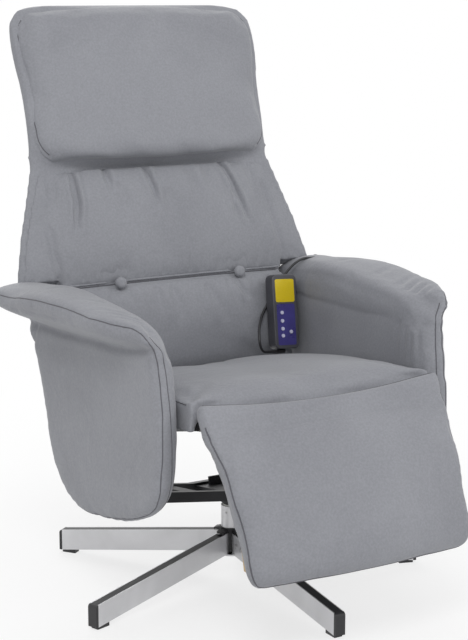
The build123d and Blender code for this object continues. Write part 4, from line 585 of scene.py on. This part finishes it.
# upper back cushion with its pleats
upper = soft_copy("upper_back_cover", ["upper_back_cushion"], 0.007, 6)
pull_in(upper, 0.003)
inflate(upper, 0.01, 3.5, still=lambda p: (back_places(p)[2] < 53) | (back_places(p)[1] < 206))
refine(upper)
fold(upper, BACK_PIVOT, RIGHT, BACK_UP, BACK_FRONT, [
    ([(-189, 436), (-189, 410), (-190, 360), (-201, 300)], 12.0, 5.5, 0.45, 0.5),
    ([(-118, 434), (-118, 402), (-114, 366)], 8.0, 6.0, 0.6, 0.45),
    ([(-34, 434), (-32, 403), (-29, 381), (-24, 335)], 11.0, 5.5, 0.5, 0.5),
    ([(139, 436), (148, 406), (161, 361), (172, 324), (178, 292)], 12.0, 5.5, 0.45, 0.5),
    ([(152, 372), (151, 297)], 6.5, 5.5, 0.6, 0.35),
    ([(228, 390), (243, 300), (250, 250), (258, 199)], 4.4, 8.0, 0.3, 0.35),
    ([(-252, 330), (-252, 273), (-247, 199)], 4.6, 7.0, 0.2, 0.4),
    ([(-100, 400), (-92, 300)], 5.0, 11.0, 0.7, 0.35),
    ([(2, 380), (8, 262)], 4.5, 13.0, 0.7, 0.35),
    ([(58, 430), (74, 330)], 5.0, 9.0, 0.7, 0.35),
    ([(96, 428), (106, 360)], 4.5, 8.0, 0.7, 0.35),
    ([(200, 428), (212, 360), (228, 300)], 5.5, 10.0, 0.6, 0.35),
    ([(-228, 424), (-236, 340)], 5.0, 9.0, 0.6, 0.35),
    ([(-133, 199), (-131, 199.5)], 3.2, 20.0, 0, 0),
    ([(131, 199), (133, 199.5)], 3.2, 20.0, 0, 0),
    ([(-128, 205), (-108, 240)], 3.0, 9.0, 0.8, 0.0),
    ([(-138, 206), (-166, 230)], 3.0, 9.0, 0.8, 0.0),
    ([(127, 205), (100, 232)], 3.0, 9.0, 0.8, 0.0),
    ([(138, 206), (160, 236)], 3.0, 9.0, 0.8, 0.0),
] + puckers(-226, 236, 31, 208, 30, 2.0, 3))
drop_wings(upper)
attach(upper, "backrest")
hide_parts("upper_back_cushion")

# lumbar cushion
lumbar = soft_copy("lumbar_cover", ["lumbar_cushion"], 0.007, 6)
pull_in(lumbar, 0.003)
inflate(lumbar, 0.01, 3.5, still=lambda p: (back_places(p)[2] < 53) | (back_places(p)[1] > 192))
refine(lumbar)
fold(lumbar, BACK_PIVOT, RIGHT, BACK_UP, BACK_FRONT, [
    ([(-133, 199), (-131, 198.5)], 3.6, 22.0, 0, 0),
    ([(131, 199), (133, 198.5)], 3.6, 22.0, 0, 0),
    ([(118, 190), (139, 140)], 8.0, 7.0, 0.6, 0.45),
    ([(104, 188), (114, 130)], 4.0, 7.5, 0.7, 0.3),
    ([(48, 186), (84, 100)], 5.0, 10.0, 0.6, 0.35),
    ([(-24, 186), (-20, 100)], 4.0, 9.0, 0.7, 0.35),
    ([(-60, 188), (-60, 120)], 3.6, 9.0, 0.7, 0.35),
    ([(-122, 190), (-108, 150)], 3.5, 7.0, 0.7, 0.3),
    ([(-143, 190), (-164, 152)], 3.5, 7.0, 0.7, 0.3),
    ([(205, 190), (200, 120)], 2.5, 10.0, 0.7, 0.3),
] + puckers(-226, 234, 33, 188, -26, 1.8, 5))
across, up, level = back_places(read_points(lumbar.data))
shift(lumbar, -20 * (1 - ease(up, 28, 100)), BACK_UP)
shift(lumbar, 5 * np.sign(across) * ease(abs(across), 225, 245) * (1 - ease(up, 150, 215)), RIGHT)
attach(lumbar, "backrest")
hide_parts("lumbar_cushion")

# back cover: one skin round the shell and behind all three cushions, so that no gap between them is open
shell = soft_copy("back_cover", ["back_shell", "back_frame", "upper_back_cushion", "lumbar_cushion",
                                "headrest_pillow"], 0.0075, 14)
across, up, level = back_places(read_points(shell.data))
move_out(shell, -5.0 * ease(level, 44, 62))
refine(shell)
across, up, level = back_places(read_points(shell.data))
valley = 6 * np.exp(-(((up - BUTTON_ROW) / 8) ** 2)) * (1 - ease(abs(across), 222, 238))
valley += 15 * np.exp(-(((up - PILLOW_SEAM) / 12) ** 2)) * (1 - ease(abs(across), 240, 256))
shift(shell, -valley * ease(level, 50, 66), BACK_FRONT)
drop_wings(shell)
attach(shell, "backrest")
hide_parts("back_shell")
ROW_ACROSS = (-238, -180, -120, -60, 0, 60, 120, 180, 238)
REAR_EDGE = ((205, 60), (238, 120), (262, 220), (246, 320), (222, 420), (206, 520), (205, 620), (200, 700),
             (170, 745))
# a dark thread along the valley between the lumbar and upper cushions: a real seam line, darkened as painted
# shade of the valley
seam("button_row_seam", shell, "backrest", [on_back(x, BUTTON_ROW, 150) for x in ROW_ACROSS],
     radius=1.5, groove=0, out=BACK_FRONT)
seam("button_row_welt", upper, "backrest", [on_back(x, BUTTON_ROW + 5, 150) for x in ROW_ACROSS],
     radius=2.4, groove=0, material="grey_upholstery", out=BACK_FRONT)
seam("back_cover_seam", shell, "backrest", [on_back(x, 640, -200) for x in (-225, -120, 0, 120, 225)],
     radius=1.2, groove=2.0, width=5.0, out=-BACK_FRONT)
for side, word in SIDES:
    seam(f"back_cover_{word}_seam", shell, "backrest", [on_back(side * x, up, -200) for x, up in REAR_EDGE],
         radius=1.2, groove=2.0, width=5.0, out=-BACK_FRONT)

# covered buttons
buttons = soft_copy("button_covers", ["tuft_buttons"], 0.0022, 3)
refine(buttons)
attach(buttons, "backrest")
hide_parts("tuft_buttons")

# seat cushion, with skirts down its sides and aprons down its front, either side of the linkage
skirts = [[on_seat(side * x, y, z) for z in (-5, 26) for y in (10, 440) for x in (232, 249)]
          for side in (-1, 1)]
skirts += [[on_seat(side * x, y, z) for z in (-4, 26) for y in (14, 28) for x in (16, 214)]
           for side in (-1, 1)]
seat = soft_copy("seat_cover", ["seat_cushion"], 0.008, 7, slabs=skirts)
pull_in(seat, 0.003)
inflate(seat, 0.012, 4.0, still=lambda p: ((p - SEAT_ORIGIN) @ SEAT_UP < 0.026) | (abs(p[:, 0]) > 0.243))
refine(seat)
fold(seat, SEAT_ORIGIN, RIGHT, SEAT_REARWARD, SEAT_UP, [
    ([(-236, 20), (-222, 60), (-214, 120)], 2.5, 10, 0.6, 0.3),
    ([(236, 20), (224, 70), (216, 140)], 2.5, 10, 0.6, 0.3),
    ([(-60, 430), (-66, 380)], 2.5, 10, 0.6, 0.3),
    ([(40, 432), (52, 376)], 2.5, 10, 0.6, 0.3),
    ([(-150, 430), (-150, 386)], 2.5, 10, 0.6, 0.3),
])
bend_edge(seat)
places = read_points(seat.data) - SEAT_ORIGIN
rearward = places @ SEAT_REARWARD * 1000
lift = places @ SEAT_UP * 1000
shift(seat, -5 * ease(lift, 30, 55) * ease(rearward, 60, 160), SEAT_UP)
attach(seat, "seat")
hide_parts("seat_cushion")
SEAT_EDGE = ((28, 50), (60, 62), (130, 66), (220, 62), (320, 54), (420, 46))
for side, word in SIDES:
    seam(f"seat_{word}_boxing_seam", seat, "seat", [on_seat(side * 252, y, z) for y, z in SEAT_EDGE],
         radius=1.3, groove=1.6, width=4.5)

# legrest pad with its boxed sides and its piping
LEG_SIDE = [  # height, place from front to rear and half width of the sides, from the top down
    (404, -318, 243), (361, -343, 240), (325, -360, 234), (293, -373, 227), (255, -391, 225), (217, -407, 223),
    (185, -419, 220), (158, -424, 211)]
boxing = [[np.array((side * (half - inset), y + back, z)) / 1000
           for z, y, half in pair for back in (-5, 25) for inset in (14, 0)]
          for pair in zip(LEG_SIDE[:-1], LEG_SIDE[1:]) for side in (-1, 1)]
legrest = soft_copy("legrest_cover", ["legrest_cushion", "legrest_board"], 0.008, 6, slabs=boxing)
places = read_points(legrest.data)
sideways = ease(abs(places[:, 0]) * 1000, 195, 225)
below = 1 - ease(places[:, 2] * 1000, 370, 400)
move_out(legrest, 1.0 + 2.5 * sideways * below)
inflate(legrest, 0.007, 3.0, still=lambda p: (p[:, 2] > 0.388) | (abs(p[:, 0]) < 0.03) & (p[:, 1] > -0.31))
refine(legrest)
bend_edge(legrest)
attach(legrest, "legrest")
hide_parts("legrest_cushion")
LEG_EDGE = [
    (244, -323, 398), (243, -334, 384), (240, -356, 355), (236, -375, 330), (231, -399, 280), (229, -415, 246),
    (227, -431, 205), (225, -440, 178), (220, -441, 160), (208, -438, 149), (190, -440, 145)]
edge = [Vector((-x, y, z)) / 1000 for x, y, z in LEG_EDGE]
edge += [Vector((x, -450, 143)) / 1000 for x in (-110, 0, 110)]
edge += [Vector((x, y, z)) / 1000 for x, y, z in reversed(LEG_EDGE)]
seam("legrest_piping", legrest, "legrest", edge, radius=1.7, groove=1.4, width=4.5)
# the seam where seat and legrest meet: a real seam, its dark thread also painted shade of the valley
join = [Vector((x / 1000, -0.299, (433 - 9 + 17 * (abs(x) / 245) ** 2.2) / 1000)) for x in range(-236, 237, 59)]
seam("seat_front_seam", legrest, "legrest", join, radius=1.5, groove=1.2, width=4.0)

# arms: one cover over board, pad and flared top, with a seam round the rim and two down the front
RIM = [(312, -248, 548), (324, -228, 557), (345, -190, 560), (360, -145, 564), (370, -60, 569), (379, 0, 569),
       (381, 60, 566), (382, 125, 561), (381, 190, 553), (376, 235, 546), (368, 256, 540)]
FRONT_OUTER = [(312, -248, 548), (303, -258, 527), (294, -262, 500), (293, -272, 445), (293, -273, 393),
               (293, -271, 340), (293, -262, 280), (293, -246, 246), (293, -215, 226), (293, -150, 204),
               (293, -60, 181), (293, 40, 168), (293, 100, 177), (293, 150, 230), (293, 180, 310),
               (293, 208, 380), (293, 240, 450)]
FRONT_INNER = [(290, -244, 548), (279, -256, 524), (276, -264, 490), (274, -270, 430), (274, -271, 380),
               (274, -268, 330), (274, -258, 280), (274, -240, 248), (274, -205, 228)]
ARM_INNER_FACE = 0.2515
for side, word in SIDES:
    arm = soft_copy(f"{word}_arm_cover", [f"{word}_arm_{part}" for part in ("pad", "board", "top_pad")],
                    0.0068, 6)
    inflate(arm, 0.004, 2.0, still=lambda p: abs(p[:, 0]) < ARM_INNER_FACE)
    move_out(arm, 3.2 * ease(abs(read_points(arm.data)[:, 0]) * 1000, 253, 262))
    refine(arm)
    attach(arm, "seat")
    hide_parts(f"{word}_arm_pad", f"{word}_arm_top_pad")
    outside = side * RIGHT
    fold(arm, np.zeros(3), REARWARD, UPWARD, outside, [
        ([(-247, 520), (-170, 512), (-110, 505), (-10, 500), (90, 494), (180, 490), (255, 484)],
         4.5, 8.0, 0, 0.3),
        ([(200, 486), (225, 450), (236, 420)], 3.5, 6.0, 0.4, 0.3),
    ], facing=0.05)
    fold(arm, np.zeros(3), outside, REARWARD, UPWARD, [
        ([(276, -205), (318, -196)], 2.4, 5.0, 0.6, 0.4),
        ([(280, -188), (330, -172)], 2.6, 5.0, 0.6, 0.4),
        ([(276, -168), (330, -146)], 2.2, 5.5, 0.6, 0.4),
        ([(282, -140), (344, -112)], 1.8, 7.0, 0.6, 0.4),
        ([(285, -60), (350, -40)], 1.2, 9.0, 0.6, 0.4),
        ([(290, 80), (350, 60)], 1.2, 9.0, 0.6, 0.4),
    ], facing=0.2)
    fold(arm, np.zeros(3), REARWARD, UPWARD, -outside, [
        ([(-205, 500), (-196, 430)], 2.2, 6.0, 0.6, 0.35),
        ([(-222, 490), (-216, 420)], 2.2, 5.0, 0.6, 0.35),
        ([(-185, 505), (-172, 450)], 1.8, 7.0, 0.6, 0.35),
        ([(-236, 500), (-238, 440)], 1.8, 5.0, 0.6, 0.35),
    ], facing=0.1)
    for path, part, groove in ((RIM, "rim", 0.4), (FRONT_OUTER, "outer", 0.4), (FRONT_INNER, "inner", 0.9)):
        seam(f"{word}_arm_{part}_seam", arm, "seat",
             [(side * x / 1000, y / 1000, z / 1000) for x, y, z in path], radius=1.1, groove=groove, width=4.0)

# dust cover: thin cloth stapled under the seat frame
cover_points = read_points(nodes["seat_dust_cover"].data) - SEAT_ORIGIN
cover_x = cover_points[:, 0]
cover_y = cover_points @ SEAT_REARWARD
cover_z = cover_points @ SEAT_UP
CLOTH_CELLS = 60
row = CLOTH_CELLS + 1
grid_x = np.linspace(cover_x.min(), cover_x.max(), row)
grid_y = np.linspace(cover_y.min(), cover_y.max(), row)
cover_vertices, cover_faces = [], []
for j, y in enumerate(grid_y):
    for i, x in enumerate(grid_x):
        edge_share = min(i, j, CLOTH_CELLS - i, CLOTH_CELLS - j) / 8
        near_box = 0.06 < x < 0.18 and 0.335 < y < 0.437
        ripple = 0.0 if near_box else 0.0012 * min(1.0, edge_share) * (
            1.0 + math.sin(x * 60 + 3 * math.sin(y * 23)) * math.cos(y * 47))
        level = cover_z.min() + 0.0004 - ripple
        cover_vertices.append(tuple(SEAT_ORIGIN + (x, 0, 0) + y * SEAT_REARWARD + level * SEAT_UP))
for j in range(CLOTH_CELLS):
    for i in range(CLOTH_CELLS):
        a = j * row + i
        cover_faces.append((a, a + 1, a + row + 1, a + row))
cover_mesh = bpy.data.meshes.new("dust_cover_mesh")
cover_mesh.from_pydata(cover_vertices, [], cover_faces)
dust_cover = bpy.data.objects.new("dust_cover_cloth", cover_mesh)
scene.collection.objects.link(dust_cover)
thick = dust_cover.modifiers.new("thickness", "SOLIDIFY")
thick.thickness = 0.0005
bake(dust_cover)
dust_cover.data.materials.append(MATERIALS["dust_cloth"])
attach(dust_cover, "seat")
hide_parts("seat_dust_cover")


# ---------------------------------------------------------------- floor, backdrop and light
floor_mesh = bpy.data.meshes.new("floor_mesh")
floor_mesh.from_pydata([(-14, -14, 0), (14, -14, 0), (14, 14, 0), (-14, 14, 0)], [], [(0, 1, 2, 3)])
floor = bpy.data.objects.new("floor", floor_mesh)
scene.collection.objects.link(floor)
floor_look = bpy.data.materials.new("floor_look")
floor_look.use_nodes = True
floor_tree = floor_look.node_tree
floor_shader = floor_tree.nodes["Principled BSDF"]
floor_shader.inputs["Base Color"].default_value = (0.93, 0.93, 0.93, 1)
floor_shader.inputs["Roughness"].default_value = 0.9


def seen_directly(tree):
    """1 for camera, glossy and transmission rays."""
    rays = tree.nodes.new("ShaderNodeLightPath")
    total = rays.outputs["Is Camera Ray"]
    for kind in ("Is Glossy Ray", "Is Transmission Ray"):
        node = tree.nodes.new("ShaderNodeMath")
        node.operation = "MAXIMUM"
        tree.links.new(total, node.inputs[0])
        tree.links.new(rays.outputs[kind], node.inputs[1])
        total = node.outputs["Value"]
    return total


reach = floor_tree.nodes.new("ShaderNodeVectorMath")
reach.operation = "LENGTH"
floor_tree.links.new(floor_tree.nodes.new("ShaderNodeTexCoord").outputs["Object"], reach.inputs[0])
fade = floor_tree.nodes.new("ShaderNodeMapRange")
fade.interpolation_type = "SMOOTHSTEP"
fade.inputs["From Min"].default_value = 0.45
fade.inputs["From Max"].default_value = 1.6
fade.inputs["To Min"].default_value = 0.72
fade.inputs["To Max"].default_value = 1.0
floor_tree.links.new(reach.outputs["Value"], fade.inputs["Value"])
share = floor_tree.nodes.new("ShaderNodeMath")
share.operation = "MULTIPLY"
floor_tree.links.new(fade.outputs["Result"], share.inputs[0])
floor_tree.links.new(seen_directly(floor_tree), share.inputs[1])
glow = floor_tree.nodes.new("ShaderNodeEmission")
glow.inputs["Strength"].default_value = 1.0
paper = floor_tree.nodes.new("ShaderNodeMixShader")
floor_tree.links.new(share.outputs["Value"], paper.inputs["Fac"])
floor_tree.links.new(floor_shader.outputs["BSDF"], paper.inputs[1])
floor_tree.links.new(glow.outputs["Emission"], paper.inputs[2])
floor_tree.links.new(paper.outputs["Shader"], floor_tree.nodes["Material Output"].inputs["Surface"])
floor_mesh.materials.append(floor_look)

world = bpy.data.worlds.new("studio")
scene.world = world
world.use_nodes = True
world_tree = world.node_tree
soft = world_tree.nodes["Background"]
soft.inputs["Color"].default_value = (1.0, 1.0, 1.0, 1)
soft.inputs["Strength"].default_value = 0.62
seen = world_tree.nodes.new("ShaderNodeBackground")
seen.inputs["Color"].default_value = (1, 1, 1, 1)
seen.inputs["Strength"].default_value = 1.0
choose = world_tree.nodes.new("ShaderNodeMixShader")
world_tree.links.new(seen_directly(world_tree), choose.inputs["Fac"])
world_tree.links.new(soft.outputs["Background"], choose.inputs[1])
world_tree.links.new(seen.outputs["Background"], choose.inputs[2])
world_tree.links.new(choose.outputs["Shader"], world_tree.nodes["World Output"].inputs["Surface"])


def area_light(name, place, target, size, power):
    """A round area lamp that faces its target."""
    data = bpy.data.lights.new(name, "AREA")
    data.shape = "DISK"
    data.size = size
    data.energy = power
    lamp = bpy.data.objects.new(name, data)
    scene.collection.objects.link(lamp)
    lamp.location = place
    lamp.rotation_euler = (Vector(target) - Vector(place)).to_track_quat("-Z", "Y").to_euler()


area_light("key_light", (-1.6, -2.2, 3.2), (0, 0, 0.5), 1.6, 55)
area_light("fill_light", (2.4, -2.2, 2.2), (0, 0, 0.5), 2.0, 26)
area_light("back_light", (0.6, 2.6, 2.6), (0, 0, 0.6), 1.8, 30)
